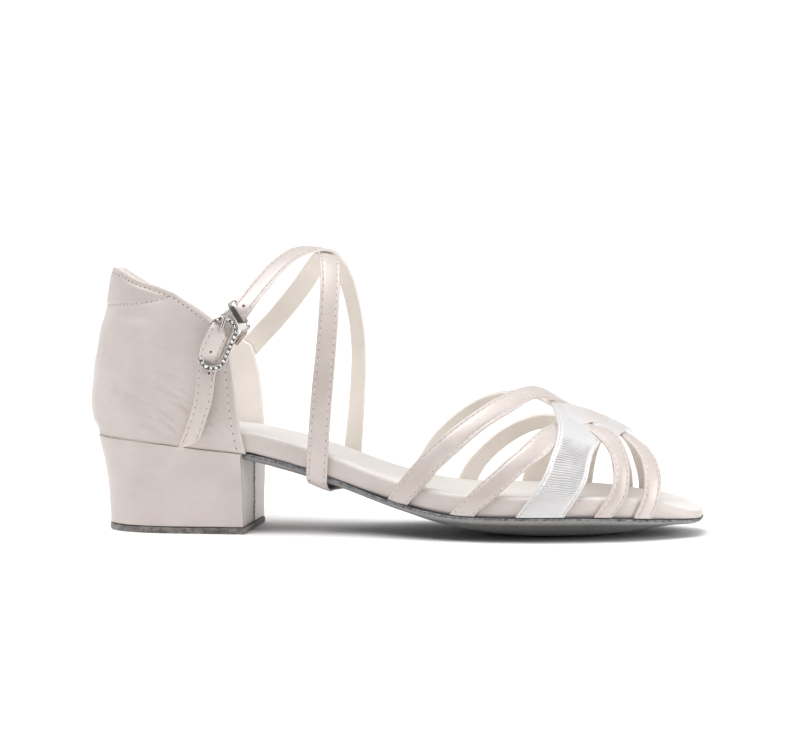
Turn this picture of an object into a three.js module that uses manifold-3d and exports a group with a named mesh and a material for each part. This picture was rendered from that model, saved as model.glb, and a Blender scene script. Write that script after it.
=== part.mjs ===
// Ballroom dance shoe, right foot: open-toed sandal with a closed counter,
// a low covered heel, woven toe straps and one long instep strap.
// Millimetres, +Z up. While it is drawn, x = 0 is the back of the heel and
// x runs to the toe, -y is the outer (lateral) side and z = 0 is the floor.
// At the end the whole group moves so that its origin is at the middle of
// its footprint, on the floor.
import * as THREE from 'three';
import { mergeVertices } from 'three/addons/utils/BufferGeometryUtils.js';
import Module from 'manifold-3d';
const wasm = await Module();
wasm.setup();

// ---------------------------------------------------------------- sizes
const GAP = 0.3;              // between pieces that touch
const TOE_X = 246.3;          // foremost point of the insole
const TOE_CAP = 34;           // length of the rounded toe
const HEEL_CAP = 28;          // length of the insole's rounded heel end
const HEEL_START = 3.7;       // its rearmost point, inside the counter
const BREAST_X = 64.3;        // front face of the heel, at the middle
const BREAST_SLANT = 0.035;   // the face leans forward toward the inner side
const TIP_H = 2.4;            // heel tip thickness
const WAIST_T = 2.8, MID_T = 3.3; // outsole thickness inside, waist and forefoot
const LEDGE = 2.0;            // outsole stands out past the insole, forefoot
const FOLD_R = 2.8;           // rounded upper edge of the insole
const COUNTER_T = 2.0;        // counter wall
const STRAP_T = 1.5;          // toe straps
const SADDLE_T = 1.6;         // silver strap
const LONG_T = 1.2;           // instep strap
const FRAME_L = 23.2, FRAME_W = 12.0, FRAME_RIM = 2.2, FRAME_T = 1.8; // buckle
const BAR_R = 0.7;            // centre bar and prong

// foot-shaped stations: outer and inner edge of the insole, its lower edge,
// the top of the foot, the height of the insole wall on either side, the
// outsole's thickness at its edge, and the height of the middle of the tread
const STATION = [
  // x,  lateral, medial, feather, instep, wallL, wallM, edge, tread
  [0,    -25.9, 25.5, 37.6, 80.0, 8.0, 8.0, 2.0, 36.0],
  [26,   -25.8, 25.4, 36.6, 80.0, 8.0, 8.0, 2.0, 34.6],
  [48,   -25.4, 25.0, 34.6, 80.0, 8.6, 7.6, 2.0, 32.4],
  [65,   -25.0, 23.8, 33.0, 80.0, 9.2, 7.6, 2.6, 29.6],
  [80,   -24.0, 22.0, 29.6, 80.0, 9.2, 8.2, 3.0, 26.0],
  [92,   -23.6, 21.3, 26.0, 90.0, 9.1, 8.6, 3.0, 22.4],
  [104,  -24.8, 21.8, 21.9, 88.0, 9.0, 8.6, 2.4, 18.5],
  [116,  -28.0, 24.2, 17.9, 84.0, 8.9, 8.0, 2.2, 14.2],
  [128,  -32.2, 27.8, 14.6, 79.0, 8.9, 7.4, 2.4, 9.6],
  [140,  -36.3, 31.6, 12.1, 73.5, 8.9, 7.0, 2.5, 5.2],
  [152,  -39.5, 35.0, 10.7, 68.0, 9.0, 6.8, 2.1, 2.2],
  [165,  -41.3, 37.6, 10.3, 62.0, 8.8, 6.7, 1.9, 0.3],
  [178,  -41.4, 39.0, 10.3, 56.8, 8.3, 6.7, 1.8, -0.8],
  [190,  -39.8, 39.0, 10.3, 49.5, 8.2, 6.6, 1.8, -0.9],
  [201,  -37.2, 37.6, 10.2, 45.2, 8.2, 6.5, 1.8, -0.5],
  [210,  -34.3, 35.6, 9.9,  43.0, 8.2, 6.2, 1.8, 0.3],
  [219,  -30.8, 32.8, 9.4,  38.4, 8.3, 5.8, 1.8, 1.2],
  [228,  -26.5, 29.6, 8.7,  33.5, 8.3, 5.6, 1.8, 2.2],
  [237,  -22.0, 26.5, 8.0,  28.0, 7.4, 5.4, 1.8, 3.6],
  [246.3, -18.0, 23.5, 7.3, 21.0, 6.2, 5.2, 1.8, 4.8]];
const S = { x: 0, lat: 1, med: 2, feather: 3, instep: 4, wallL: 5, wallM: 6, edge: 7, tread: 8 };

// heel block: back profile and half width against height
const HEEL_BLOCK = [
  // z,   back, half
  [0,    5.8, 23.0],
  [3.5,  5.7, 23.0],
  [11.4, 5.3, 23.4],
  [19.2, 4.6, 24.3],
  [27.2, 3.3, 25.8],
  [32.3, 2.0, 27.0],
  [37.6, 0.9, 28.3]];

// counter: back profile, half width and front edge against height
const COUNTER = [
  // z,    back, half, front, frontInner
  [32,    1.6, 27.6, 65.3, 65.6],
  [38.6,  1.0, 28.3, 63.6, 64.8],
  [44.4, -1.3, 28.8, 62.6, 64.2],
  [52.0, -2.1, 29.1, 61.6, 63.6],
  [60.0, -1.5, 29.2, 60.7, 62.7],
  [66.6, -1.0, 29.1, 59.9, 61.1],
  [73.7,  0.4, 28.8, 59.0, 59.0],
  [79.6,  1.4, 28.3, 57.8, 57.0],
  [90.4,  4.4, 26.8, 56.0, 55.0],
  [97.1,  5.3, 25.4, 55.0, 54.0],
  [107.0, 6.8, 23.0, 54.0, 54.0]];
// top line of the counter, seen from the side
const TOPLINE = [
  // x,   z
  [6.0, 106.4],
  [8.4, 106.3],
  [21.3, 102.4],
  [33.3, 98.7],
  [39.3, 95.6],
  [46.1, 91.2],
  [51.1, 86.7],
  [57.0, 80.8]];
const TOPLINE_INNER = [
  [6.0, 106.4],
  [7.8, 106.0],
  [11.2, 103.6],
  [18.3, 99.2],
  [27.9, 94.6],
  [35.1, 90.8],
  [40.6, 87.5],
  [45.5, 84.0],
  [52.3, 77.6],
  [58.0, 72.0]];

// toe straps: both edges of each section on the foot surface, as distance
// along the foot and angle round it (180 outer side, 90 top, 0 inner side),
// and how far the strap's underside stands off that surface
const OUTER_REAR = [
  // xRear, degRear, xFront, degFront, lift
  [123.5, 180, 130.9, 180, 0.35],
  [131.3, 169, 138.5, 171, 0.75],
  [140.7, 159, 147.8, 161, 0.75],
  [152.0, 146, 156.8, 149, 0.8],
  [160.7, 132, 165.5, 136, 1.0],
  [169.2, 119, 172.8, 128, 1.7],
  [177.8, 102, 181.2, 110, 2.6],
  [185.5, 86, 188.8, 96, 3.4],
  [192.0, 72, 196.0, 82, 3.4],
  [199.0, 58, 203.5, 67, 2.6],
  [204.5, 44, 210.0, 52, 1.8],
  [207.0, 30, 213.5, 35, 1.2],
  [208.0, 16, 215.5, 18, 0.75],
  [208.5, 0, 216.1, 0, 0.35]];
const OUTER_FRONT = [
  [149.0, 180, 158.6, 180, 0.35],
  [155.4, 173, 165.4, 173, 0.6],
  [164.1, 165, 173.6, 163, 0.75],
  [172.9, 152, 181.4, 151, 0.75],
  [179.0, 141, 187.2, 139, 0.7],
  [185.0, 127, 193.2, 126, 0.5],
  [191.5, 112, 200.0, 113, 1.2],
  [198.5, 99, 206.5, 103, 3.2],
  [205.5, 84, 213.0, 89, 2.2],
  [210.5, 66, 218.0, 72, 0.4],
  [214.5, 48, 222.0, 54, -0.4],
  [217.0, 30, 224.5, 34, 0.2],
  [218.5, 14, 226.0, 15, 0.75],
  [218.5, 0, 226.0, 0, 0.35]];
const INNER_REAR = [
  [123.5, 0, 132.0, 0, 0.35],
  [133.9, 18, 141.5, 19, 0.75],
  [143.4, 31, 151.0, 32, 0.2],
  [155.5, 47, 162.5, 48, -0.6],
  [165.5, 60, 172.5, 60, -1.0],
  [175.0, 72, 182.0, 71, -0.2],
  [184.5, 83, 191.0, 79, 1.8],
  [193.8, 94, 199.8, 87, 3.2],
  [202.3, 106, 207.0, 95, 3.9],
  [206.0, 117, 211.5, 106, 3.8],
  [208.6, 126, 214.0, 116, 3.0],
  [210.8, 135, 216.5, 126, 2.0],
  [212.2, 146, 218.4, 141, 1.2],
  [212.0, 158, 218.5, 158, 0.9],
  [209.6, 170, 216.6, 170, 0.75],
  [205.9, 180, 212.9, 180, 0.35]];
const INNER_FRONT = [
  [142.5, 0, 150.5, 0, 0.35],
  [149.0, 12, 158.0, 13, 0.75],
  [154.7, 20, 164.0, 20, 0.75],
  [164.3, 31, 173.5, 29, 0.75],
  [175.6, 44, 184.0, 41, 0.6],
  [188.0, 60, 195.0, 54, 0.5],
  [200.0, 78, 206.5, 71, 0.5],
  [210.0, 97, 216.5, 88, 0.5],
  [216.9, 115, 221.8, 104, 0.75],
  [220.9, 123, 226.9, 114, 0.75],
  [223.9, 136, 230.4, 127, 0.75],
  [224.9, 152, 231.6, 147, 0.75],
  [224.3, 165, 230.9, 164, 0.75],
  [221.4, 180, 228.0, 180, 0.35]];
const SADDLE = [
  [174.7, 180, 194.8, 180, 0.4],
  [180.1, 169, 199.5, 169, 0.9],
  [185.3, 157, 202.7, 157, 0.9],
  [188.8, 142, 204.7, 144, 1.0],
  [190.5, 126, 206.9, 130, 1.3],
  [188.5, 111, 213.0, 113, 1.7],
  [184.0, 94, 217.0, 93, 2.0],
  [182.0, 80, 216.0, 83, 2.0],
  [184.0, 66, 211.0, 68, 1.7],
  [185.0, 50, 206.0, 52, 0.8],
  [181.0, 35, 203.0, 37, 0.6],
  [174.5, 20, 200.5, 21, 0.8],
  [168.5, 0, 198.5, 0, 0.4]];

// instep strap, from its end on the inner side of the counter, over the
// instep, under the arch and back over the instep to the buckle:
// centre, outward direction and width
const LONG_STRAP = [
  // x,    y,     z,    nx,   ny,   nz,  width
  [54.0, 30.5, 68.0, 0.0, 1.0, 0.1, 8.5],
  [58.3, 30.2, 72.4, 0.0, 1.0, 0.1, 8.5],
  [63.5, 28.6, 77.8, 0.1, 1.0, 0.15, 8.5],
  [69.5, 25.6, 83.9, 0.1, 0.95, 0.3, 8.5],
  [76.0, 21.2, 91.2, 0.1, 0.85, 0.5, 8.5],
  [82.5, 16.0, 99.0, 0.1, 0.65, 0.75, 8.5],
  [89.0, 9.0, 107.6, 0.1, 0.4, 0.9, 8.5],
  [93.6, 0.0, 111.5, 0.25, -0.05, 0.97, 8.5],
  [96.4, -8.2, 109.9, 0.3, -0.5, 0.82, 8.5],
  [97.5, -14.0, 103.6, 0.2, -0.85, 0.48, 8.2],
  [97.7, -18.2, 95.0, 0.1, -0.95, 0.3, 8.0],
  [97.2, -23.2, 78.0, 0.0, -1.0, 0.2, 8.2],
  [95.7, -26.0, 58.0, 0.0, -1.0, 0.1, 8.5],
  [94.2, -26.4, 38.0, 0.0, -1.0, 0.0, 8.6],
  [93.5, -25.6, 27.0, 0.0, -1.0, -0.1, 8.6],
  [93.4, -24.3, 21.6, -0.22, -0.75, -0.6, 8.6],
  [94.0, -17.5, 19.2, -0.38, -0.15, -0.92, 8.6],
  [95.2, -8.0, 18.8, -0.4, 0.0, -0.92, 8.4],
  [96.8, 2.0, 18.2, -0.4, 0.0, -0.92, 8.2],
  [98.4, 12.0, 17.7, -0.4, 0.1, -0.92, 8.0],
  [99.9, 19.0, 17.6, -0.36, 0.3, -0.9, 7.8],
  [100.9, 23.9, 20.4, -0.25, 0.85, -0.5, 7.6],
  [101.4, 25.2, 28.0, 0.0, 1.0, -0.05, 7.4],
  [102.7, 26.2, 44.0, 0.25, 0.97, 0.1, 7.2],
  [103.6, 27.2, 60.0, 0.42, 0.9, 0.1, 7.2],
  [103.8, 26.6, 73.0, 0.45, 0.88, 0.15, 7.2],
  [102.6, 23.6, 87.0, 0.45, 0.82, 0.35, 7.3],
  [99.9, 17.0, 101.0, 0.4, 0.7, 0.6, 7.8],
  [95.8, 8.0, 110.6, 0.25, 0.35, 0.9, 8.3],
  [91.6, 1.0, 113.9, 0.05, 0.0, 1.0, 8.5],
  [86.6, -4.2, 114.0, -0.1, -0.35, 0.93, 8.5],
  [81.0, -9.2, 111.8, -0.25, -0.65, 0.7, 8.5],
  [75.6, -16.4, 106.8, -0.3, -0.8, 0.5, 8.5],
  [69.8, -24.0, 99.6, -0.3, -0.88, 0.38, 8.4],
  [66.2, -28.4, 94.4, -0.25, -0.92, 0.3, 8.0]];
// the same strap through the buckle, in the buckle's own directions:
// along, across, out, and width; then the tail hanging down
const THROUGH_BUCKLE = [
  // along, across, out, width
  [14.6, -2.5, -2.8, 7.4],
  [12.0, -1.0, -2.5, 7.2],
  [9.6, 0, -2.15, 6.9],
  [7.4, 0, -2.05, 6.9],
  [5.8, 0, -1.2, 6.9],
  [4.2, 0, -0.1, 6.9],
  [2.6, 0, 0.5, 7.0],
  [0.0, 0, 0.6, 7.0],
  [-2.6, 0, 0.5, 7.0],
  [-4.2, 0, -0.1, 6.9],
  [-5.8, 0, -1.2, 6.9],
  [-7.4, 0, -2.05, 6.9],
  [-9.6, 0, -2.15, 6.9],
  [-13.0, 0, -1.6, 7.8]];
const TAIL = [
  [48.7, -33.0, 55.0, 0.0, -1.0, 0.05, 7.2],
  [45.0, -32.1, 43.2, 0.0, -1.0, 0.03, 7.0],
  [42.5, -31.5, 37.0, 0.0, -1.0, 0.0, 7.0]];
const TAIL_SKEW = -0.95; // slope of the cut at its end
const BUCKLE = { centre: [55.0, -33.9, 77.6], along: [0.4045, 0.0, 0.9145] };
// bright loop round the strap above the buckle, with a leg to the ear
const KEEPER = { centre: [62.4, -31.0, 89.9], wide: [0.467, -0.265, -0.843], out: [-0.2, -0.95, 0.2], half: 5.9, deep: 1.95, band: 2.2, thick: 0.9 };
const KEEPER_LEG = [
  // x,    y,    z,    nx,   ny,   nz,  width
  [65.6, -32.0, 84.3, 0.6, -0.5, -0.4, 2.2],
  [65.2, -31.3, 82.2, 0.5, -0.8, -0.3, 2.2],
  [63.6, -30.6, 80.0, 0.2, -1.0, -0.1, 2.2],
  [61.4, -30.2, 77.2, 0.1, -1.0, 0.0, 2.2]];

// ------------------------------------------------------------- helpers
const rad = (d) => d * Math.PI / 180;
const lerp = (a, b, t) => a + (b - a) * t;
const smooth = (t) => { t = Math.min(1, Math.max(0, t)); return t * t * (3 - 2 * t); };

// smooth curve through one column of a table, with no overshoot
function column(rows, key, col) {
  const xs = rows.map((r) => r[key]), ys = rows.map((r) => r[col]), n = xs.length;
  const slope = (k) => {
    if (k === 0) return (ys[1] - ys[0]) / (xs[1] - xs[0]);
    if (k === n - 1) return (ys[k] - ys[k - 1]) / (xs[k] - xs[k - 1]);
    const h0 = xs[k] - xs[k - 1], h1 = xs[k + 1] - xs[k];
    const d0 = (ys[k] - ys[k - 1]) / h0, d1 = (ys[k + 1] - ys[k]) / h1;
    if (d0 * d1 <= 0) return 0;
    const w0 = 2 * h1 + h0, w1 = h1 + 2 * h0;
    return (w0 + w1) / (w0 / d0 + w1 / d1);
  };
  const m = xs.map((_, k) => slope(k));
  return (x) => {
    x = Math.min(Math.max(x, xs[0]), xs[n - 1]);
    let i = 0;
    while (i < n - 2 && x > xs[i + 1]) i++;
    const h = xs[i + 1] - xs[i], t = (x - xs[i]) / h;
    return (2 * t ** 3 - 3 * t * t + 1) * ys[i] + (t ** 3 - 2 * t * t + t) * h * m[i]
      + (-2 * t ** 3 + 3 * t * t) * ys[i + 1] + (t ** 3 - t * t) * h * m[i + 1];
  };
}
const at = {};
for (const k of Object.keys(S)) if (k !== 'x') at[k] = column(STATION, S.x, S[k]);
const blockBack = column(HEEL_BLOCK, 0, 1), blockHalf = column(HEEL_BLOCK, 0, 2);
const cupBack = column(COUNTER, 0, 1), cupHalf = column(COUNTER, 0, 2), cupFront = column(COUNTER, 0, 3), cupFrontInner = column(COUNTER, 0, 4);
const topline = column(TOPLINE, 0, 1), toplineInner = column(TOPLINE_INNER, 0, 1);

// smooth curve through rows of any number of columns
function through(rows, steps) {
  const out = [];
  const row = (i) => rows[Math.min(rows.length - 1, Math.max(0, i))];
  for (let i = 0; i < rows.length - 1; i++) {
    for (let k = 0; k < steps; k++) {
      const t = k / steps, p0 = row(i - 1), p1 = row(i), p2 = row(i + 1), p3 = row(i + 2);
      out.push(p1.map((_, c) => 0.5 * (2 * p1[c] + (p2[c] - p0[c]) * t
        + (2 * p0[c] - 5 * p1[c] + 4 * p2[c] - p3[c]) * t * t
        + (3 * p1[c] - p0[c] - 3 * p2[c] + p3[c]) * t ** 3)));
    }
  }
  out.push(rows[rows.length - 1].slice());
  return out;
}

// a closed mesh from points and triangles, faces turned outward
function solid(points, faces) {
  let vol = 0;
  for (const [a, b, c] of faces) {
    const [A, B, C] = [points[a], points[b], points[c]];
    vol += A[0] * (B[1] * C[2] - B[2] * C[1]) - A[1] * (B[0] * C[2] - B[2] * C[0]) + A[2] * (B[0] * C[1] - B[1] * C[0]);
  }
  const g = new THREE.BufferGeometry();
  g.setAttribute('position', new THREE.Float32BufferAttribute(points.flat(), 3));
  g.setIndex((vol < 0 ? faces.map(([a, b, c]) => [a, c, b]) : faces).flat());
  return g;
}
// rings of equal length, joined in order, with a fan over each end
function loft(rings) {
  const pts = rings.flat(), n = rings[0].length, faces = [];
  for (let r = 0; r < rings.length - 1; r++) {
    for (let k = 0; k < n; k++) {
      const a = r * n + k, b = r * n + (k + 1) % n, c = a + n, d = b + n;
      faces.push([a, b, d], [a, d, c]);
    }
  }
  for (const [r, flip] of [[0, true], [rings.length - 1, false]]) {
    const mid = [0, 1, 2].map((c) => rings[r].reduce((s, p) => s + p[c], 0) / n);
    pts.push(mid);
    const m = pts.length - 1;
    for (let k = 0; k < n; k++) {
      const a = r * n + k, b = r * n + (k + 1) % n;
      faces.push(flip ? [a, m, b] : [a, b, m]);
    }
  }
  return solid(pts, faces);
}
// rings round an outline, the first and last closed by a strip that joins
// the two sides of the ring point by point
function shellPlate(rings) {
  const pts = rings.flat(), n = rings[0].length, faces = [];
  for (let r = 0; r < rings.length - 1; r++) {
    for (let k = 0; k < n; k++) {
      const a = r * n + k, b = r * n + (k + 1) % n, c = a + n, d = b + n;
      faces.push([a, b, d], [a, d, c]);
    }
  }
  for (const [r, flip] of [[0, true], [rings.length - 1, false]]) {
    for (let k = 0; k < n / 2; k++) {
      const a = r * n + k, b = r * n + k + 1, c = r * n + (n - k) % n, d = r * n + n - k - 1;
      const quad = [];
      if (c !== a) quad.push([a, d, c]);
      if (b !== d) quad.push([a, b, d]);
      for (const q of quad) faces.push(flip ? [q[0], q[2], q[1]] : q);
    }
  }
  return solid(pts, faces);
}
// two grids of the same size, skinned on all sides
function slab(top, under) {
  const R = top.length, C = top[0].length, pts = [...top.flat(), ...under.flat()], o = R * C, faces = [];
  const id = (r, c) => r * C + c;
  for (let r = 0; r < R - 1; r++) {
    for (let c = 0; c < C - 1; c++) {
      faces.push([id(r, c), id(r + 1, c), id(r + 1, c + 1)], [id(r, c), id(r + 1, c + 1), id(r, c + 1)]);
      faces.push([o + id(r, c), o + id(r + 1, c + 1), o + id(r + 1, c)], [o + id(r, c), o + id(r, c + 1), o + id(r + 1, c + 1)]);
    }
    for (const [c, s] of [[0, 1], [C - 1, -1]]) {
      const a = id(r, c), b = id(r + 1, c);
      faces.push(...(s > 0 ? [[a, o + a, o + b], [a, o + b, b]] : [[a, o + b, o + a], [a, b, o + b]]));
    }
  }
  for (let c = 0; c < C - 1; c++) {
    for (const [r, s] of [[0, -1], [R - 1, 1]]) {
      const a = id(r, c), b = id(r, c + 1);
      faces.push(...(s > 0 ? [[a, o + a, o + b], [a, o + b, b]] : [[a, o + b, o + a], [a, b, o + b]]));
    }
  }
  return solid(pts, faces);
}
const clean = (g) => {
  const h = g.clone();
  h.deleteAttribute('normal');
  h.deleteAttribute('uv');
  return mergeVertices(h, 1e-4);
};
const toManifold = (g) => {
  const c = clean(g);
  return new wasm.Manifold(new wasm.Mesh({
    numProp: 3, vertProperties: new Float32Array(c.attributes.position.array), triVerts: new Uint32Array(c.index.array),
  }));
};
const toGeometry = (m) => {
  const mesh = m.getMesh(), g = new THREE.BufferGeometry();
  g.setAttribute('position', new THREE.BufferAttribute(new Float32Array(mesh.vertProperties), 3));
  g.setIndex(new THREE.BufferAttribute(new Uint32Array(mesh.triVerts), 1));
  return g;
};
// where straps cross, closed pockets between the layers are filled
function withoutPockets(g) {
  const c = clean(g), idx = c.index.array, p = c.attributes.position, parent = Array.from({ length: p.count }, (_, i) => i);
  const find = (i) => { while (parent[i] !== i) { parent[i] = parent[parent[i]]; i = parent[i]; } return i; };
  for (let i = 0; i < idx.length; i += 3) { parent[find(idx[i])] = find(idx[i + 1]); parent[find(idx[i + 1])] = find(idx[i + 2]); }
  const vol = new Map(), V = (i) => new THREE.Vector3().fromBufferAttribute(p, i);
  for (let i = 0; i < idx.length; i += 3) {
    const r = find(idx[i]);
    vol.set(r, (vol.get(r) || 0) + V(idx[i]).dot(V(idx[i + 1]).cross(V(idx[i + 2]))));
  }
  const keep = [];
  for (let i = 0; i < idx.length; i += 3) if (vol.get(find(idx[i])) > 0) keep.push(idx[i], idx[i + 1], idx[i + 2]);
  c.setIndex(keep);
  return mergeVertices(c.toNonIndexed(), 1e-4);
}
const join = (list) => toGeometry(list.map(toManifold).reduce((a, b) => a.add(b)));
const cut = (g, tools) => toGeometry(tools.map(toManifold).reduce((a, b) => a.subtract(b), toManifold(g)));
const boxAt = (x0, x1, y0, y1, z0, z1) => new THREE.BoxGeometry(x1 - x0, y1 - y0, z1 - z0)
  .translate((x0 + x1) / 2, (y0 + y1) / 2, (z0 + z1) / 2);

// ------------------------------------------------------ the last's form
// inner and outer edge of the insole at x, rounded at the toe
function edges(x) {
  const l = at.lat(x), m = at.med(x), c = (l + m) / 2, h = (m - l) / 2;
  if (x <= TOE_X - TOE_CAP) return [l, m];
  const q = Math.min(1, (x - (TOE_X - TOE_CAP)) / TOE_CAP), k = (1 - q ** 2.4) ** (1 / 4.4);
  return [c - h * k, c + h * k];
}
// foot surface: angle 180 at the outer sole edge, 90 on top, 0 inside
function foot(x, deg) {
  const [l, m] = edges(x), c = (l + m) / 2, h = (m - l) / 2, z0 = at.feather(x), z1 = at.instep(x);
  const co = Math.cos(rad(deg)), si = Math.max(0, Math.sin(rad(deg))), e = 2 / 2.2;
  return new THREE.Vector3(x, c + h * Math.sign(co) * Math.abs(co) ** e, z0 + (z1 - z0) * si ** e);
}
function footNormal(x, deg) {
  const a = foot(x + 0.5, deg).sub(foot(x - 0.5, deg));
  const d = Math.min(174, Math.max(6, deg));
  const b = foot(x, d + 2).sub(foot(x, d - 2));
  return b.cross(a).normalize();
}
// outline of the bottom: pairs of points from heel to toe on both sides,
// in one ring, each with the point on the middle line that it shrinks to
const RING = 34;
function outline(grow) {
  const side = (s) => {
    const list = [];
    for (let i = 0; i <= RING; i++) {
      let x, k, spine;
      if (i < 7) {
        const a = (i / 7) * Math.PI / 2;
        x = HEEL_START + HEEL_CAP * (1 - Math.cos(a)); k = Math.sin(a); spine = HEEL_START + HEEL_CAP;
      } else if (i > RING - 9) {
        const a = ((i - (RING - 9)) / 9) * Math.PI / 2;
        const q = Math.sin(a) ** (2 / 2.4);
        x = TOE_X - TOE_CAP * (1 - q); spine = TOE_X - TOE_CAP; k = Math.max(0, 1 - q ** 2.4) ** (1 / 4.4);
        if (i === RING) k = 0;
      } else {
        x = lerp(HEEL_START + HEEL_CAP, TOE_X - TOE_CAP, (i - 7) / (RING - 16)); k = 1; spine = x;
      }
      const l = at.lat(x), m = at.med(x), c = (l + m) / 2, h = (m - l) / 2;
      list.push({ x, y: c + s * h * k, sx: spine, sy: (at.lat(spine) + at.med(spine)) / 2 });
    }
    return list;
  };
  const a = side(-1), b = side(1), ring = [...a, ...b.slice(1, RING).reverse()];
  return ring.map((p, i) => {
    const u = ring[(i + ring.length - 1) % ring.length], v = ring[(i + 1) % ring.length];
    let nx = v.y - u.y, ny = -(v.x - u.x);
    const n = Math.hypot(nx, ny); nx /= n; ny /= n;
    const g = typeof grow === 'function' ? grow(p.x) : grow;
    return { ...p, x: p.x + nx * g, y: p.y + ny * g };
  });
}
const reach = (p) => Math.hypot(p.x - p.sx, p.y - p.sy);
const inset = (p, d) => {
  const f = Math.min(0.97, d / reach(p));
  return [lerp(p.x, p.sx, f), lerp(p.y, p.sy, f), f];
};
const ledge = (x) => LEDGE * smooth((x - 98) / 26) * (1 - 0.95 * smooth((x - 214) / 26));

// ---------------------------------------------------------------- soles
const edgeZ = (x) => at.feather(x) - GAP;              // top of the outsole's edge
const treadZ = (x, f) => Math.max(0, lerp(edgeZ(x) - at.edge(x) * (0.6 + 0.4 * smooth(f / 0.06)), at.tread(x), 1 - (1 - f) ** 2.2));
const midT = (x) => lerp(WAIST_T, MID_T, smooth((x - 110) / 30));
const bedZ = (x, f) => treadZ(x, f) + lerp(0, midT(x), 1) * smooth(f / 0.3) + (edgeZ(x) - treadZ(x, 0)) * (1 - smooth(f / 0.3));

function outsoleSolid() {
  const ring = outline(ledge), rings = [];
  const fr = [0.97, 0.7, 0.45, 0.25, 0.12, 0.05, 0];
  const put = (f, z) => rings.push(ring.map((p) => {
    const x = lerp(p.x, p.sx, f), y = lerp(p.y, p.sy, f);
    return [x, y, z(x, f)];
  }));
  for (const f of fr) put(f, bedZ);
  for (const f of fr.slice().reverse()) put(f, treadZ);
  const whole = toManifold(shellPlate(rings));
  const front = new THREE.BoxGeometry(300, 120, 120).translate(BREAST_X + 0.5 + 150, 0, 20);
  front.translate(0, 0, 0).applyMatrix4(new THREE.Matrix4().makeShear(0, 0, BREAST_SLANT, 0, 0, 0));
  return toGeometry(whole.intersect(toManifold(front)));
}

function insoleSolid() {
  const ring = outline(0), rings = [];
  const heel = (x) => 1 - smooth((x - 60) / 18);
  const base = (x, f) => lerp(bedZ(x, f) + GAP, at.feather(x) + GAP, heel(x)) + 0.12 + 0.12 * (1 - smooth((x - 85) / 20));
  const side = (p) => (p.y < p.sy ? at.wallL : at.wallM);
  const put = (d, z) => rings.push(ring.map((p) => {
    const [x, y, f] = inset(p, d);
    return [x, y, z(x, f, p)];
  }));
  const dish = (x) => 0.8 + 1.6 * smooth((x - 110) / 40);
  const roof = (x, f, p) => {
    const c = (p.y - p.sy) / Math.max(1, reach(p)) * (1 - f);
    const w = lerp(at.wallL(x), at.wallM(x), 0.5 + 0.5 * Math.max(-1, Math.min(1, c)));
    return at.feather(x) + w - dish(x) * smooth(f / 0.7);
  };
  put(999, roof);
  put(20, roof);
  put(10, roof);
  put(FOLD_R, roof);
  put(FOLD_R * 0.3, (x, f, p) => roof(x, 0, p) - FOLD_R * 0.3);
  put(0, (x, f, p) => roof(x, 0, p) - FOLD_R);
  put(0, (x) => base(x, 0));
  const putShare = (f, z) => rings.push(ring.map((p) => { const x = lerp(p.x, p.sx, f), y = lerp(p.y, p.sy, f); return [x, y, z(x, f)]; }));
  for (const f of [0.1, 0.25, 0.45, 0.7, 0.97]) putShare(f, base);
  return shellPlate(rings);
}

// ----------------------------------------------------------------- heel
// horizontal section of the heel: flat front face, rounded back
function heelRing(zOf, back, half, grow) {
  const pts = [], n = 8;
  const push = (x, y) => pts.push([x, y]);
  const front = (y) => BREAST_X + BREAST_SLANT * y;
  const cap = 30, xc = back + cap;
  for (let i = 0; i <= 4; i++) push(front(lerp(-half, half, i / 4)) + grow, lerp(-half - grow, half + grow, i / 4));
  for (let i = 1; i <= 3; i++) push(lerp(front(half), xc, i / 4), half + grow);
  for (let i = 0; i <= 2 * n; i++) {
    const a = Math.PI / 2 * (1 - i / n), e = 2 / 2.35;
    const cx = Math.abs(Math.cos(a)) ** e, sy = Math.sign(Math.sin(a)) * Math.abs(Math.sin(a)) ** e;
    push(xc - (cap + grow) * cx, (half + grow) * sy);
  }
  for (let i = 3; i >= 1; i--) push(lerp(front(-half), xc, i / 4), -half - grow);
  return pts.map(([x, y]) => [x, y, zOf(x)]);
}
function heelSolid() {
  const rings = [];
  for (const t of [0, 0.1, 0.3, 0.5, 0.7, 0.85, 1]) {
    const z = (x) => lerp(TIP_H + GAP, at.feather(Math.max(0, x)) - GAP - 0.1, t);
    const zr = lerp(TIP_H + GAP, 37.3, t);
    rings.push(heelRing(z, blockBack(zr), blockHalf(zr), 0));
  }
  return loft(rings);
}
function heelTipSolid() {
  return loft([heelRing(() => 0, blockBack(0), blockHalf(0), 0.2), heelRing(() => TIP_H, blockBack(3), blockHalf(3), 0.3)]);
}

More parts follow.
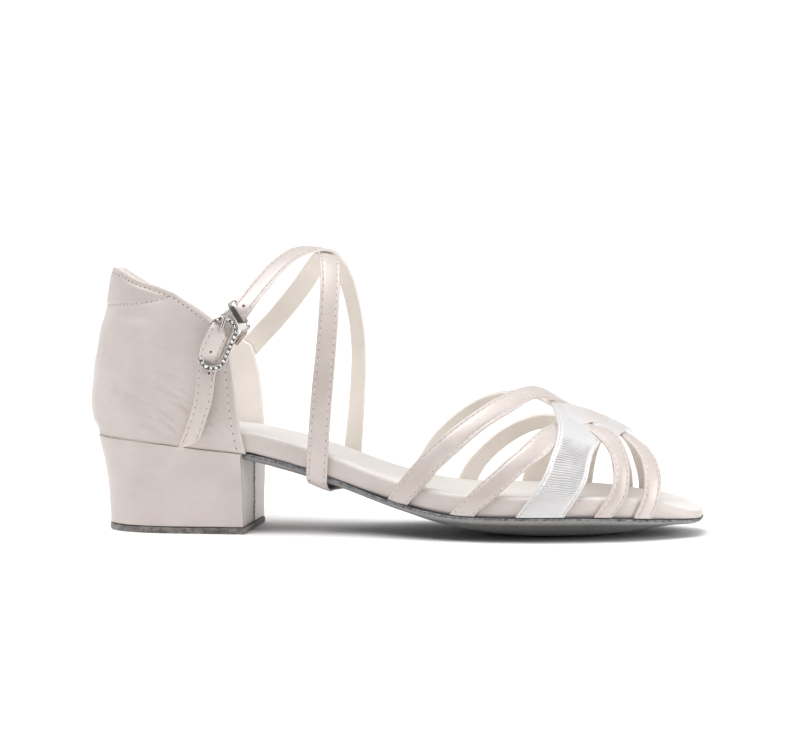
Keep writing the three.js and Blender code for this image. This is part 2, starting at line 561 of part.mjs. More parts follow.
// -------------------------------------------------------------- counter
const CUP_CAP = 30;
function cupPoint(u, v, inward) {
  // u runs 0..1 from the outer front edge round the back to the inner one
  const s = u < 0.5 ? -1 : 1, w = Math.min(u, 1 - u) * 2; // 0 front edge .. 1 back
  const straight = 0.42;
  const xTop0 = 57.2, xTopC = 36;
  const topX = w < straight ? lerp(xTop0, xTopC, w / straight)
    : xTopC - (xTopC - 6.6) * Math.sin((w - straight) / (1 - straight) * Math.PI / 2);
  const zTop = s < 0 ? topline(topX) : toplineInner(topX);
  const x0 = w < straight ? lerp(64.6, 31, w / straight) : 31 - 30 * Math.sin((w - straight) / (1 - straight) * Math.PI / 2);
  const zBase = at.feather(Math.max(0, x0)) + 0.06;
  const z = lerp(zBase, zTop, v);
  const back = cupBack(z) + inward, half = cupHalf(z) - inward, front = s < 0 ? cupFront(z) : cupFrontInner(z);
  const xc = cupBack(z) + CUP_CAP;
  let x, y;
  if (w < straight) { x = lerp(front, xc, w / straight); y = s * half; } else {
    const a = (w - straight) / (1 - straight) * Math.PI / 2, e = 2 / 2.25;
    x = xc - (xc - back) * Math.sin(a) ** e; y = s * half * Math.cos(a) ** e;
  }
  if (u === 0.5) y = 0;
  return [x, y, z];
}
function counterSolid() {
  const U = 32, V = 9, outer = [], inner = [];
  for (let i = 0; i <= U; i++) {
    const a = [], b = [];
    for (let j = 0; j <= V; j++) {
      a.push(cupPoint(i / U, j / V, 0));
      b.push(cupPoint(i / U, j / V, COUNTER_T));
    }
    outer.push(a); inner.push(b);
  }
  return slab(outer, inner);
}

// --------------------------------------------------------------- straps
function toeStrap(rows, thick, steps = 2, across = 3) {
  const top = [], under = [];
  for (const [xr, dr, xf, df, lift] of through(rows, steps)) {
    const a = [], b = [];
    for (let k = 0; k <= across; k++) {
      const x = lerp(xr, xf, k / across), d = Math.min(180, Math.max(0, lerp(dr, df, k / across)));
      const p = foot(x, d), n = footNormal(x, d);
      const crown = 0.18 * Math.sin(Math.PI * k / across);
      b.push(p.clone().addScaledVector(n, lift).toArray());
      a.push(p.clone().addScaledVector(n, lift + thick * 0.88 + crown).toArray());
    }
    top.push(a); under.push(b);
  }
  return slab(top, under);
}
function ribbon(rows, thick, steps, skew = 0) {
  const line = through(rows, steps), top = [], under = [];
  line.forEach((r, i) => {
    const p = new THREE.Vector3(r[0], r[1], r[2]);
    const q0 = line[Math.max(0, i - 1)], q1 = line[Math.min(line.length - 1, i + 1)];
    const t = new THREE.Vector3(q1[0] - q0[0], q1[1] - q0[1], q1[2] - q0[2]).normalize();
    const n = new THREE.Vector3(r[3], r[4], r[5]);
    n.addScaledVector(t, -n.dot(t)).normalize();
    const b = new THREE.Vector3().crossVectors(t, n);
    const a = [], u = [];
    for (const k of [-1, 0, 1]) {
      const c = p.clone().addScaledVector(b, k * r[6] / 2);
      if (i === line.length - 1) c.addScaledVector(t, -k * skew * r[6] / 2);
      a.push(c.clone().addScaledVector(n, thick / 2 - (k ? 0.12 : 0)).toArray());
      u.push(c.clone().addScaledVector(n, -thick / 2).toArray());
    }
    top.push(a); under.push(u);
  });
  return slab(top, under);
}

// the buckle's own directions: along the strap, across it, and outward
const bAlong = new THREE.Vector3(...BUCKLE.along).normalize();
const bOut = new THREE.Vector3(0, -1, 0);
const bAcross = new THREE.Vector3().crossVectors(bOut, bAlong).normalize();
const bCentre = new THREE.Vector3(...BUCKLE.centre);
const buckleMatrix = new THREE.Matrix4().makeBasis(bAlong, bAcross, bOut).setPosition(bCentre);
const inBuckle = (g) => g.applyMatrix4(buckleMatrix);

function longStrapRows() {
  const mid = THROUGH_BUCKLE.map(([a, c, o, w]) => {
    const p = bCentre.clone().addScaledVector(bAlong, a).addScaledVector(bAcross, c).addScaledVector(bOut, o);
    return [p.x, p.y, p.z, bOut.x, bOut.y, bOut.z, w];
  });
  return [...LONG_STRAP, ...mid, ...TAIL];
}
function stadiumRing(l, w, n = 6) {
  // centre line of the buckle frame in its own plane
  const r = w / 2, s = l / 2 - r, pts = [];
  for (let i = 0; i <= n; i++) { const a = -Math.PI / 2 + Math.PI * i / n; pts.push([s + r * Math.cos(a), r * Math.sin(a)]); }
  for (let i = 0; i <= n; i++) { const a = Math.PI / 2 + Math.PI * i / n; pts.push([-s + r * Math.cos(a), r * Math.sin(a)]); }
  return pts;
}
function stadiumShape(l, w, n = 6) { return new THREE.Shape(stadiumRing(l, w, n).map(([x, y]) => new THREE.Vector2(x, y))); }

function frameSolid() {
  const shape = stadiumShape(FRAME_L, FRAME_W);
  shape.holes.push(new THREE.Path(stadiumRing(FRAME_L - 2 * FRAME_RIM, FRAME_W - 2 * FRAME_RIM).map(([x, y]) => new THREE.Vector2(x, y)).reverse()));
  const rim = new THREE.ExtrudeGeometry(shape, { depth: FRAME_T, bevelEnabled: false, curveSegments: 6 }).translate(0, 0, -FRAME_T / 2);
  const half = FRAME_W / 2 - FRAME_RIM / 2;
  const bar = new THREE.CylinderGeometry(BAR_R, BAR_R, 2 * half, 10).translate(0, 0, -2.0);
  const legs = [-half, half].map((y) => new THREE.CylinderGeometry(BAR_R, BAR_R, 2.4 + BAR_R, 10).rotateX(Math.PI / 2)
    .translate(0, y, -2.0 + (2.4 + BAR_R) / 2 - BAR_R));
  return inBuckle(join([rim, bar, ...legs]));
}
function prongSolid() {
  // lies on the strap, from its hole near the bar to the upper end of the frame
  const pin = new THREE.CylinderGeometry(0.5, 0.6, 9.4, 10).rotateZ(-Math.PI / 2).translate(6.0, 0, 2.1);
  const root = new THREE.CylinderGeometry(0.6, 0.6, 2.25, 10).rotateX(Math.PI / 2).translate(1.7, 0, 1.0);
  return inBuckle(join([pin, root]));
}
function holeTool() {
  return inBuckle(new THREE.CylinderGeometry(1.05, 1.05, 6, 12).rotateX(Math.PI / 2).translate(1.7, 0, 1.2));
}
function tabSolid() {
  // leather loop round the centre bar, stitched flat on the counter's ear
  const s = new THREE.Shape();
  s.moveTo(-8.5, -4.35); s.lineTo(8.5, -4.35); s.lineTo(8.5, -3.4); s.lineTo(3.2, -3.2);
  for (let i = 0; i <= 8; i++) { const a = rad(-15 + i * 210 / 8); s.lineTo(1.55 * Math.cos(a), -2.0 + 1.55 * Math.sin(a)); }
  s.lineTo(-3.2, -3.2); s.lineTo(-8.5, -3.4);
  s.closePath();
  const h = new THREE.Path();
  h.absarc(0, -2.0, BAR_R + 0.3, 0, Math.PI * 2, true);
  s.holes.push(h);
  const g = new THREE.ExtrudeGeometry(s, { depth: 6.4, bevelEnabled: false, curveSegments: 10 }).translate(0, 0, -3.2).rotateX(Math.PI / 2);
  return inBuckle(g.scale(1, -1, 1).toNonIndexed ? flip(g) : g);
}
// mirror turned faces back outward
function flip(g) {
  const c = clean(g), idx = Array.from(c.index.array), f = [];
  const p = c.attributes.position;
  const pts = [];
  for (let i = 0; i < p.count; i++) pts.push([p.getX(i), p.getY(i), p.getZ(i)]);
  for (let i = 0; i < idx.length; i += 3) f.push([idx[i], idx[i + 1], idx[i + 2]]);
  return solid(pts, f);
}
function keeperSolid() {
  const o = stadiumShape(2 * KEEPER.half + 2 * KEEPER.thick, 2 * KEEPER.deep + 2 * KEEPER.thick, 5);
  o.holes.push(new THREE.Path(stadiumRing(2 * KEEPER.half, 2 * KEEPER.deep, 5).map(([x, y]) => new THREE.Vector2(x, y)).reverse()));
  const g = new THREE.ExtrudeGeometry(o, { depth: KEEPER.band, bevelEnabled: false, curveSegments: 5 }).translate(0, 0, -KEEPER.band / 2);
  const wide = new THREE.Vector3(...KEEPER.wide).normalize(), out = new THREE.Vector3(...KEEPER.out);
  out.addScaledVector(wide, -out.dot(wide)).normalize();
  const m = new THREE.Matrix4().makeBasis(wide, out, new THREE.Vector3().crossVectors(wide, out));
  const mid = new THREE.Vector3(...KEEPER.centre);
  return join([g.applyMatrix4(m.setPosition(mid)), ribbon(KEEPER_LEG, KEEPER.thick, 2)]);
}

// --------------------------------------------------------------- object
const COLOURS = {
  satin: { color: 0xdcd0ca, roughness: 0.55, metalness: 0 },
  strap: { color: 0xe9e0dc, roughness: 0.5, metalness: 0 },
  insole: { color: 0xefeae2, roughness: 0.7, metalness: 0 },
  suede: { color: 0x8c8c8e, roughness: 0.95, metalness: 0 },
  steel: { color: 0xd8d8da, roughness: 0.2, metalness: 1 },
};
const shoe = new THREE.Group();
function piece(name, geometry, finish) {
  const mesh = new THREE.Mesh(clean(geometry), new THREE.MeshStandardMaterial(COLOURS[finish]));
  mesh.name = name;
  shoe.add(mesh);
}
piece('heel_tip', heelTipSolid(), 'suede');
piece('heel', heelSolid(), 'satin');
piece('outsole', outsoleSolid(), 'suede');
piece('insole', insoleSolid(), 'insole');
piece('counter', counterSolid(), 'satin');
piece('vamp_straps', withoutPockets(join([
  toeStrap(OUTER_REAR, STRAP_T), toeStrap(OUTER_FRONT, STRAP_T), toeStrap(INNER_REAR, STRAP_T),
  toeStrap(INNER_FRONT, STRAP_T), toeStrap(SADDLE, SADDLE_T, 2, 5)])), 'strap');
piece('instep_strap', cut(ribbon(longStrapRows(), LONG_T, 2, TAIL_SKEW), [holeTool()]), 'strap');
piece('buckle_frame', frameSolid(), 'steel');
piece('buckle_prong', prongSolid(), 'steel');
piece('buckle_tab', tabSolid(), 'strap');
piece('strap_keeper', keeperSolid(), 'steel');

shoe.updateMatrixWorld(true);
const box = new THREE.Box3().setFromObject(shoe);
shoe.position.set(-(box.min.x + box.max.x) / 2, -(box.min.y + box.max.y) / 2, -box.min.z);
shoe.updateMatrixWorld(true);
export default shoe;
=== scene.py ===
import math
import bmesh
import bpy
import numpy as np
from mathutils import Vector, Matrix, noise


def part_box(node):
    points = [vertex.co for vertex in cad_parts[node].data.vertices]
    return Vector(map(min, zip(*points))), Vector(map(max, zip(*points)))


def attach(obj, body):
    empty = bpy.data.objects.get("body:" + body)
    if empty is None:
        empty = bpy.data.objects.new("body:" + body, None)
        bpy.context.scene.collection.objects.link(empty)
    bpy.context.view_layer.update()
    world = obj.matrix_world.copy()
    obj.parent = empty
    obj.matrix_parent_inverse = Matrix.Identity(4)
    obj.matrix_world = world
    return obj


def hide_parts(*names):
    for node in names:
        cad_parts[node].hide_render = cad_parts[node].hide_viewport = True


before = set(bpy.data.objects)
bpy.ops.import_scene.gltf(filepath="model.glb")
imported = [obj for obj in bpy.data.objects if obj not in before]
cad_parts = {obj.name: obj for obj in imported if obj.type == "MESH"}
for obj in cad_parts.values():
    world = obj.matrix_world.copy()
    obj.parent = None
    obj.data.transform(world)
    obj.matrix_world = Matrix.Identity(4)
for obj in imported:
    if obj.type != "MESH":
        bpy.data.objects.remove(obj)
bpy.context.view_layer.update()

# ------------------------------------------------------------------ sizes
GAP = 0.3
TOE_X, TOE_CAP = 246.3, 34.0
HEEL_CAP, HEEL_START = 28.0, 3.7
BREAST_X, BREAST_SLANT = 64.3, 0.035
TIP_H = 2.4
WAIST_T, MID_T = 2.8, 3.3
LEDGE = 2.0
FOLD_R = 2.8
COUNTER_T = 2.0
STRAP_T, SADDLE_T, LONG_T = 1.5, 1.6, 1.2
FRAME_L, FRAME_W, FRAME_RIM, FRAME_T = 23.2, 12.0, 2.2, 1.8
BAR_R = 0.7

STATION = [
  # x,  lateral, medial, feather, instep, wallL, wallM, edge, tread
  [0,    -25.9, 25.5, 37.6, 80.0, 8.0, 8.0, 2.0, 36.0],
  [26,   -25.8, 25.4, 36.6, 80.0, 8.0, 8.0, 2.0, 34.6],
  [48,   -25.4, 25.0, 34.6, 80.0, 8.6, 7.6, 2.0, 32.4],
  [65,   -25.0, 23.8, 33.0, 80.0, 9.2, 7.6, 2.6, 29.6],
  [80,   -24.0, 22.0, 29.6, 80.0, 9.2, 8.2, 3.0, 26.0],
  [92,   -23.6, 21.3, 26.0, 90.0, 9.1, 8.6, 3.0, 22.4],
  [104,  -24.8, 21.8, 21.9, 88.0, 9.0, 8.6, 2.4, 18.5],
  [116,  -28.0, 24.2, 17.9, 84.0, 8.9, 8.0, 2.2, 14.2],
  [128,  -32.2, 27.8, 14.6, 79.0, 8.9, 7.4, 2.4, 9.6],
  [140,  -36.3, 31.6, 12.1, 73.5, 8.9, 7.0, 2.5, 5.2],
  [152,  -39.5, 35.0, 10.7, 68.0, 9.0, 6.8, 2.1, 2.2],
  [165,  -41.3, 37.6, 10.3, 62.0, 8.8, 6.7, 1.9, 0.3],
  [178,  -41.4, 39.0, 10.3, 56.8, 8.3, 6.7, 1.8, -0.8],
  [190,  -39.8, 39.0, 10.3, 49.5, 8.2, 6.6, 1.8, -0.9],
  [201,  -37.2, 37.6, 10.2, 45.2, 8.2, 6.5, 1.8, -0.5],
  [210,  -34.3, 35.6, 9.9,  43.0, 8.2, 6.2, 1.8, 0.3],
  [219,  -30.8, 32.8, 9.4,  38.4, 8.3, 5.8, 1.8, 1.2],
  [228,  -26.5, 29.6, 8.7,  33.5, 8.3, 5.6, 1.8, 2.2],
  [237,  -22.0, 26.5, 8.0,  28.0, 7.4, 5.4, 1.8, 3.6],
  [246.3, -18.0, 23.5, 7.3, 21.0, 6.2, 5.2, 1.8, 4.8]]

HEEL_BLOCK = [
  # z,   back, half
  [0,    5.8, 23.0],
  [3.5,  5.7, 23.0],
  [11.4, 5.3, 23.4],
  [19.2, 4.6, 24.3],
  [27.2, 3.3, 25.8],
  [32.3, 2.0, 27.0],
  [37.6, 0.9, 28.3]]

COUNTER = [
  # z,    back, half, front, frontInner
  [32,    1.6, 27.6, 65.3, 65.6],
  [38.6,  1.0, 28.3, 63.6, 64.8],
  [44.4, -1.3, 28.8, 62.6, 64.2],
  [52.0, -2.1, 29.1, 61.6, 63.6],
  [60.0, -1.5, 29.2, 60.7, 62.7],
  [66.6, -1.0, 29.1, 59.9, 61.1],
  [73.7,  0.4, 28.8, 59.0, 59.0],
  [79.6,  1.4, 28.3, 57.8, 57.0],
  [90.4,  4.4, 26.8, 56.0, 55.0],
  [97.1,  5.3, 25.4, 55.0, 54.0],
  [107.0, 6.8, 23.0, 54.0, 54.0]]

TOPLINE = [
  # x,   z
  [6.0, 106.4],
  [8.4, 106.3],
  [21.3, 102.4],
  [33.3, 98.7],
  [39.3, 95.6],
  [46.1, 91.2],
  [51.1, 86.7],
  [57.0, 80.8]]

TOPLINE_INNER = [
  [6.0, 106.4],
  [7.8, 106.0],
  [11.2, 103.6],
  [18.3, 99.2],
  [27.9, 94.6],
  [35.1, 90.8],
  [40.6, 87.5],
  [45.5, 84.0],
  [52.3, 77.6],
  [58.0, 72.0]]

OUTER_REAR = [
  # xRear, degRear, xFront, degFront, lift
  [123.5, 180, 130.9, 180, 0.35],
  [131.3, 169, 138.5, 171, 0.75],
  [140.7, 159, 147.8, 161, 0.75],
  [152.0, 146, 156.8, 149, 0.8],
  [160.7, 132, 165.5, 136, 1.0],
  [169.2, 119, 172.8, 128, 1.7],
  [177.8, 102, 181.2, 110, 2.6],
  [185.5, 86, 188.8, 96, 3.4],
  [192.0, 72, 196.0, 82, 3.4],
  [199.0, 58, 203.5, 67, 2.6],
  [204.5, 44, 210.0, 52, 1.8],
  [207.0, 30, 213.5, 35, 1.2],
  [208.0, 16, 215.5, 18, 0.75],
  [208.5, 0, 216.1, 0, 0.35]]

OUTER_FRONT = [
  [149.0, 180, 158.6, 180, 0.35],
  [155.4, 173, 165.4, 173, 0.6],
  [164.1, 165, 173.6, 163, 0.75],
  [172.9, 152, 181.4, 151, 0.75],
  [179.0, 141, 187.2, 139, 0.7],
  [185.0, 127, 193.2, 126, 0.5],
  [191.5, 112, 200.0, 113, 1.2],
  [198.5, 99, 206.5, 103, 3.2],
  [205.5, 84, 213.0, 89, 2.2],
  [210.5, 66, 218.0, 72, 0.4],
  [214.5, 48, 222.0, 54, -0.4],
  [217.0, 30, 224.5, 34, 0.2],
  [218.5, 14, 226.0, 15, 0.75],
  [218.5, 0, 226.0, 0, 0.35]]

INNER_REAR = [
  [123.5, 0, 132.0, 0, 0.35],
  [133.9, 18, 141.5, 19, 0.75],
  [143.4, 31, 151.0, 32, 0.2],
  [155.5, 47, 162.5, 48, -0.6],
  [165.5, 60, 172.5, 60, -1.0],
  [175.0, 72, 182.0, 71, -0.2],
  [184.5, 83, 191.0, 79, 1.8],
  [193.8, 94, 199.8, 87, 3.2],
  [202.3, 106, 207.0, 95, 3.9],
  [206.0, 117, 211.5, 106, 3.8],
  [208.6, 126, 214.0, 116, 3.0],
  [210.8, 135, 216.5, 126, 2.0],
  [212.2, 146, 218.4, 141, 1.2],
  [212.0, 158, 218.5, 158, 0.9],
  [209.6, 170, 216.6, 170, 0.75],
  [205.9, 180, 212.9, 180, 0.35]]

INNER_FRONT = [
  [142.5, 0, 150.5, 0, 0.35],
  [149.0, 12, 158.0, 13, 0.75],
  [154.7, 20, 164.0, 20, 0.75],
  [164.3, 31, 173.5, 29, 0.75],
  [175.6, 44, 184.0, 41, 0.6],
  [188.0, 60, 195.0, 54, 0.5],
  [200.0, 78, 206.5, 71, 0.5],
  [210.0, 97, 216.5, 88, 0.5],
  [216.9, 115, 221.8, 104, 0.75],
  [220.9, 123, 226.9, 114, 0.75],
  [223.9, 136, 230.4, 127, 0.75],
  [224.9, 152, 231.6, 147, 0.75],
  [224.3, 165, 230.9, 164, 0.75],
  [221.4, 180, 228.0, 180, 0.35]]

SADDLE = [
  [174.7, 180, 194.8, 180, 0.4],
  [180.1, 169, 199.5, 169, 0.9],
  [185.3, 157, 202.7, 157, 0.9],
  [188.8, 142, 204.7, 144, 1.0],
  [190.5, 126, 206.9, 130, 1.3],
  [188.5, 111, 213.0, 113, 1.7],
  [184.0, 94, 217.0, 93, 2.0],
  [182.0, 80, 216.0, 83, 2.0],
  [184.0, 66, 211.0, 68, 1.7],
  [185.0, 50, 206.0, 52, 0.8],
  [181.0, 35, 203.0, 37, 0.6],
  [174.5, 20, 200.5, 21, 0.8],
  [168.5, 0, 198.5, 0, 0.4]]

LONG_STRAP = [
  # x,    y,     z,    nx,   ny,   nz,  width
  [54.0, 30.5, 68.0, 0.0, 1.0, 0.1, 8.5],
  [58.3, 30.2, 72.4, 0.0, 1.0, 0.1, 8.5],
  [63.5, 28.6, 77.8, 0.1, 1.0, 0.15, 8.5],
  [69.5, 25.6, 83.9, 0.1, 0.95, 0.3, 8.5],
  [76.0, 21.2, 91.2, 0.1, 0.85, 0.5, 8.5],
  [82.5, 16.0, 99.0, 0.1, 0.65, 0.75, 8.5],
  [89.0, 9.0, 107.6, 0.1, 0.4, 0.9, 8.5],
  [93.6, 0.0, 111.5, 0.25, -0.05, 0.97, 8.5],
  [96.4, -8.2, 109.9, 0.3, -0.5, 0.82, 8.5],
  [97.5, -14.0, 103.6, 0.2, -0.85, 0.48, 8.2],
  [97.7, -18.2, 95.0, 0.1, -0.95, 0.3, 8.0],
  [97.2, -23.2, 78.0, 0.0, -1.0, 0.2, 8.2],
  [95.7, -26.0, 58.0, 0.0, -1.0, 0.1, 8.5],
  [94.2, -26.4, 38.0, 0.0, -1.0, 0.0, 8.6],
  [93.5, -25.6, 27.0, 0.0, -1.0, -0.1, 8.6],
  [93.4, -24.3, 21.6, -0.22, -0.75, -0.6, 8.6],
  [94.0, -17.5, 19.2, -0.38, -0.15, -0.92, 8.6],
  [95.2, -8.0, 18.8, -0.4, 0.0, -0.92, 8.4],
  [96.8, 2.0, 18.2, -0.4, 0.0, -0.92, 8.2],
  [98.4, 12.0, 17.7, -0.4, 0.1, -0.92, 8.0],
  [99.9, 19.0, 17.6, -0.36, 0.3, -0.9, 7.8],
  [100.9, 23.9, 20.4, -0.25, 0.85, -0.5, 7.6],
  [101.4, 25.2, 28.0, 0.0, 1.0, -0.05, 7.4],
  [102.7, 26.2, 44.0, 0.25, 0.97, 0.1, 7.2],
  [103.6, 27.2, 60.0, 0.42, 0.9, 0.1, 7.2],
  [103.8, 26.6, 73.0, 0.45, 0.88, 0.15, 7.2],
  [102.6, 23.6, 87.0, 0.45, 0.82, 0.35, 7.3],
  [99.9, 17.0, 101.0, 0.4, 0.7, 0.6, 7.8],
  [95.8, 8.0, 110.6, 0.25, 0.35, 0.9, 8.3],
  [91.6, 1.0, 113.9, 0.05, 0.0, 1.0, 8.5],
  [86.6, -4.2, 114.0, -0.1, -0.35, 0.93, 8.5],
  [81.0, -9.2, 111.8, -0.25, -0.65, 0.7, 8.5],
  [75.6, -16.4, 106.8, -0.3, -0.8, 0.5, 8.5],
  [69.8, -24.0, 99.6, -0.3, -0.88, 0.38, 8.4],
  [66.2, -28.4, 94.4, -0.25, -0.92, 0.3, 8.0]]

THROUGH_BUCKLE = [
  # along, across, out, width
  [14.6, -2.5, -2.8, 7.4],
  [12.0, -1.0, -2.5, 7.2],
  [9.6, 0, -2.15, 6.9],
  [7.4, 0, -2.05, 6.9],
  [5.8, 0, -1.2, 6.9],
  [4.2, 0, -0.1, 6.9],
  [2.6, 0, 0.5, 7.0],
  [0.0, 0, 0.6, 7.0],
  [-2.6, 0, 0.5, 7.0],
  [-4.2, 0, -0.1, 6.9],
  [-5.8, 0, -1.2, 6.9],
  [-7.4, 0, -2.05, 6.9],
  [-9.6, 0, -2.15, 6.9],
  [-13.0, 0, -1.6, 7.8]]

TAIL = [
  [48.7, -33.0, 55.0, 0.0, -1.0, 0.05, 7.2],
  [45.0, -32.1, 43.2, 0.0, -1.0, 0.03, 7.0],
  [42.5, -31.5, 37.0, 0.0, -1.0, 0.0, 7.0]]

KEEPER_LEG = [
  # x,    y,    z,    nx,   ny,   nz,  width
  [65.6, -32.0, 84.3, 0.6, -0.5, -0.4, 2.2],
  [65.2, -31.3, 82.2, 0.5, -0.8, -0.3, 2.2],
  [63.6, -30.6, 80.0, 0.2, -1.0, -0.1, 2.2],
  [61.4, -30.2, 77.2, 0.1, -1.0, 0.0, 2.2]]

TAIL_SKEW = -0.95
BUCKLE_CENTRE = np.array([55.0, -33.9, 77.6])
BUCKLE_ALONG = np.array([0.4045, 0.0, 0.9145])
KEEPER_CENTRE = np.array([62.4, -31.0, 89.9])
KEEPER_WIDE = np.array([0.467, -0.265, -0.843])
KEEPER_OUT = np.array([-0.2, -0.95, 0.2])
KEEPER_HALF, KEEPER_DEEP, KEEPER_BAND, KEEPER_THICK = 5.9, 1.95, 2.2, 0.9


# ---------------------------------------------------------------- helpers
def lerp(a, b, t):
    return a + (b - a) * t


def smooth(t):
    t = np.clip(t, 0.0, 1.0)
    return t * t * (3 - 2 * t)


def unit(v):
    v = np.asarray(v, float)
    return v / np.maximum(np.linalg.norm(v, axis=-1, keepdims=True), 1e-12)


def column(rows, col, key=0):
    """Smooth curve through one column of a table, with no overshoot."""
    xs = np.array([r[key] for r in rows], float)
    ys = np.array([r[col] for r in rows], float)
    n = len(xs)
    h = np.diff(xs)
    d = np.diff(ys) / h
    m = np.zeros(n)
    m[0], m[-1] = d[0], d[-1]
    for k in range(1, n - 1):
        if d[k - 1] * d[k] > 0:
            w0, w1 = 2 * h[k] + h[k - 1], h[k] + 2 * h[k - 1]
            m[k] = (w0 + w1) / (w0 / d[k - 1] + w1 / d[k])

    def curve(x):
        x = np.clip(np.asarray(x, float), xs[0], xs[-1])
        i = np.clip(np.searchsorted(xs, x, "right") - 1, 0, n - 2)
        t = (x - xs[i]) / h[i]
        return ((2 * t ** 3 - 3 * t * t + 1) * ys[i] + (t ** 3 - 2 * t * t + t) * h[i] * m[i]
                + (-2 * t ** 3 + 3 * t * t) * ys[i + 1] + (t ** 3 - t * t) * h[i] * m[i + 1])
    return curve


LAT, MED, FEATHER, INSTEP, WALL_L, WALL_M, EDGE, TREAD = (column(STATION, c) for c in range(1, 9))
BLOCK_BACK, BLOCK_HALF = column(HEEL_BLOCK, 1), column(HEEL_BLOCK, 2)
CUP_BACK, CUP_HALF, CUP_FRONT, CUP_FRONT_INNER = (column(COUNTER, c) for c in range(1, 5))
TOP_OUT, TOP_IN = column(TOPLINE, 1), column(TOPLINE_INNER, 1)


def through(rows, steps):
    """Catmull-Rom curve through rows of any number of columns."""
    rows = np.array(rows, float)
    pad = np.vstack([rows[:1], rows, rows[-1:]])
    out = []
    for i in range(len(rows) - 1):
        p0, p1, p2, p3 = pad[i], pad[i + 1], pad[i + 2], pad[i + 3]
        for k in range(steps):
            t = k / steps
            out.append(0.5 * (2 * p1 + (p2 - p0) * t + (2 * p0 - 5 * p1 + 4 * p2 - p3) * t * t
                              + (3 * p1 - p0 - 3 * p2 + p3) * t ** 3))
    out.append(rows[-1])
    return np.array(out)


def edges(x):
    x = np.asarray(x, float)
    l, m = LAT(x), MED(x)
    c, h = (l + m) / 2, (m - l) / 2
    q = np.clip((x - (TOE_X - TOE_CAP)) / TOE_CAP, 0, 1)
    k = np.maximum(0, 1 - q ** 2.4) ** (1 / 4.4)
    return c - h * k, c + h * k


def foot(x, deg):
    """The last's surface: angle 180 at the outer sole edge, 90 on top, 0 inside."""
    x, deg = np.broadcast_arrays(np.asarray(x, float), np.asarray(deg, float))
    l, m = edges(x)
    c, h = (l + m) / 2, (m - l) / 2
    z0, z1 = FEATHER(x), INSTEP(x)
    co, si = np.cos(np.radians(deg)), np.maximum(0, np.sin(np.radians(deg)))
    e = 2 / 2.2
    return np.stack([x, c + h * np.sign(co) * np.abs(co) ** e, z0 + (z1 - z0) * si ** e], -1)


def foot_normal(x, deg):
    a = foot(x + 0.5, deg) - foot(x - 0.5, deg)
    d = np.clip(deg, 6, 174)
    b = foot(x, d + 2) - foot(x, d - 2)
    return unit(np.cross(b, a))


def cup(u, v, inward):
    """The counter's wall: u 0 at the outer front edge, 1 at the inner one; v 0 at the heel, 1 at the top line."""
    u, v, inward = np.broadcast_arrays(np.asarray(u, float), np.asarray(v, float), np.asarray(inward, float))
    s = np.where(u < 0.5, -1.0, 1.0)
    w = np.minimum(u, 1 - u) * 2
    straight = 0.42
    flat = w < straight
    f, g = w / straight, np.clip((w - straight) / (1 - straight), 0, 1) * math.pi / 2
    top_x = np.where(flat, lerp(57.2, 36.0, f), 36 - (36 - 6.6) * np.sin(g))
    z_top = np.where(s < 0, TOP_OUT(top_x), TOP_IN(top_x))
    x0 = np.where(flat, lerp(64.6, 31.0, f), 31 - 30 * np.sin(g))
    z = lerp(FEATHER(np.maximum(0, x0)) + 0.06, z_top, v)
    back, half = CUP_BACK(z) + inward, CUP_HALF(z) - inward
    front = np.where(s < 0, CUP_FRONT(z), CUP_FRONT_INNER(z))
    xc = CUP_BACK(z) + 30.0
    e = 2 / 2.25
    x = np.where(flat, lerp(front, xc, f), xc - (xc - back) * np.sin(g) ** e)
    y = np.where(flat, s * half, s * half * np.maximum(0, np.cos(g)) ** e)
    y = np.where(np.abs(u - 0.5) < 1e-9, 0.0, y)
    return np.stack([x, y, z], -1)


b_along = unit(BUCKLE_ALONG)
b_out = np.array([0.0, -1.0, 0.0])
b_across = unit(np.cross(b_out, b_along))


def in_buckle(along, across, out):
    along, across, out = (np.asarray(q, float)[..., None] for q in (along, across, out))
    return BUCKLE_CENTRE + along * b_along + across * b_across + out * b_out


def long_strap_rows():
    mid = [[*in_buckle(a, c, o), *b_out, w] for a, c, o, w in THROUGH_BUCKLE]
    return LONG_STRAP + mid + TAIL

_lo, _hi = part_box("heel_tip")
OFFSET = np.array([_lo[0] * 1000 - (float(BLOCK_BACK(3.0)) - 0.3), (_lo[1] + _hi[1]) * 500, _lo[2] * 1000])


def place(p):
    return (np.asarray(p, float) + OFFSET) * 0.001


def undulate(p, wave, seed, octaves=3):
    """Smooth irregular field over points in mm, about -1 to 1, with the given wavelength."""
    rs = np.random.RandomState(seed)
    out = np.zeros(p.shape[:-1])
    amp, total = 1.0, 0.0
    for _ in range(octaves):
        for _ in range(4):
            d = unit(rs.normal(size=3)) * 2 * math.pi / wave
            out = out + amp * np.sin(p @ d + rs.uniform(0, 6.28))
        total += amp * 2.2
        amp *= 0.55
        wave *= 0.53
    return out / total


def make_mesh(name, verts, faces, materials, index=None, flat=False, attrs=None):
    me = bpy.data.meshes.new(name)
    me.from_pydata(place(verts).tolist(), [], faces if isinstance(faces, list) else faces.tolist())
    for m in materials:
        me.materials.append(m)
    if index is not None:
        me.polygons.foreach_set("material_index", np.asarray(index, np.int32))
    me.polygons.foreach_set("use_smooth", np.full(len(me.polygons), not flat))
    for key, vals in (attrs or {}).items():
        a = me.attributes.new(key, "FLOAT", "POINT")
        a.data.foreach_set("value", np.asarray(vals, np.float32).ravel())
    me.update()
    o = bpy.data.objects.new(name, me)
    bpy.context.scene.collection.objects.link(o)
    return o


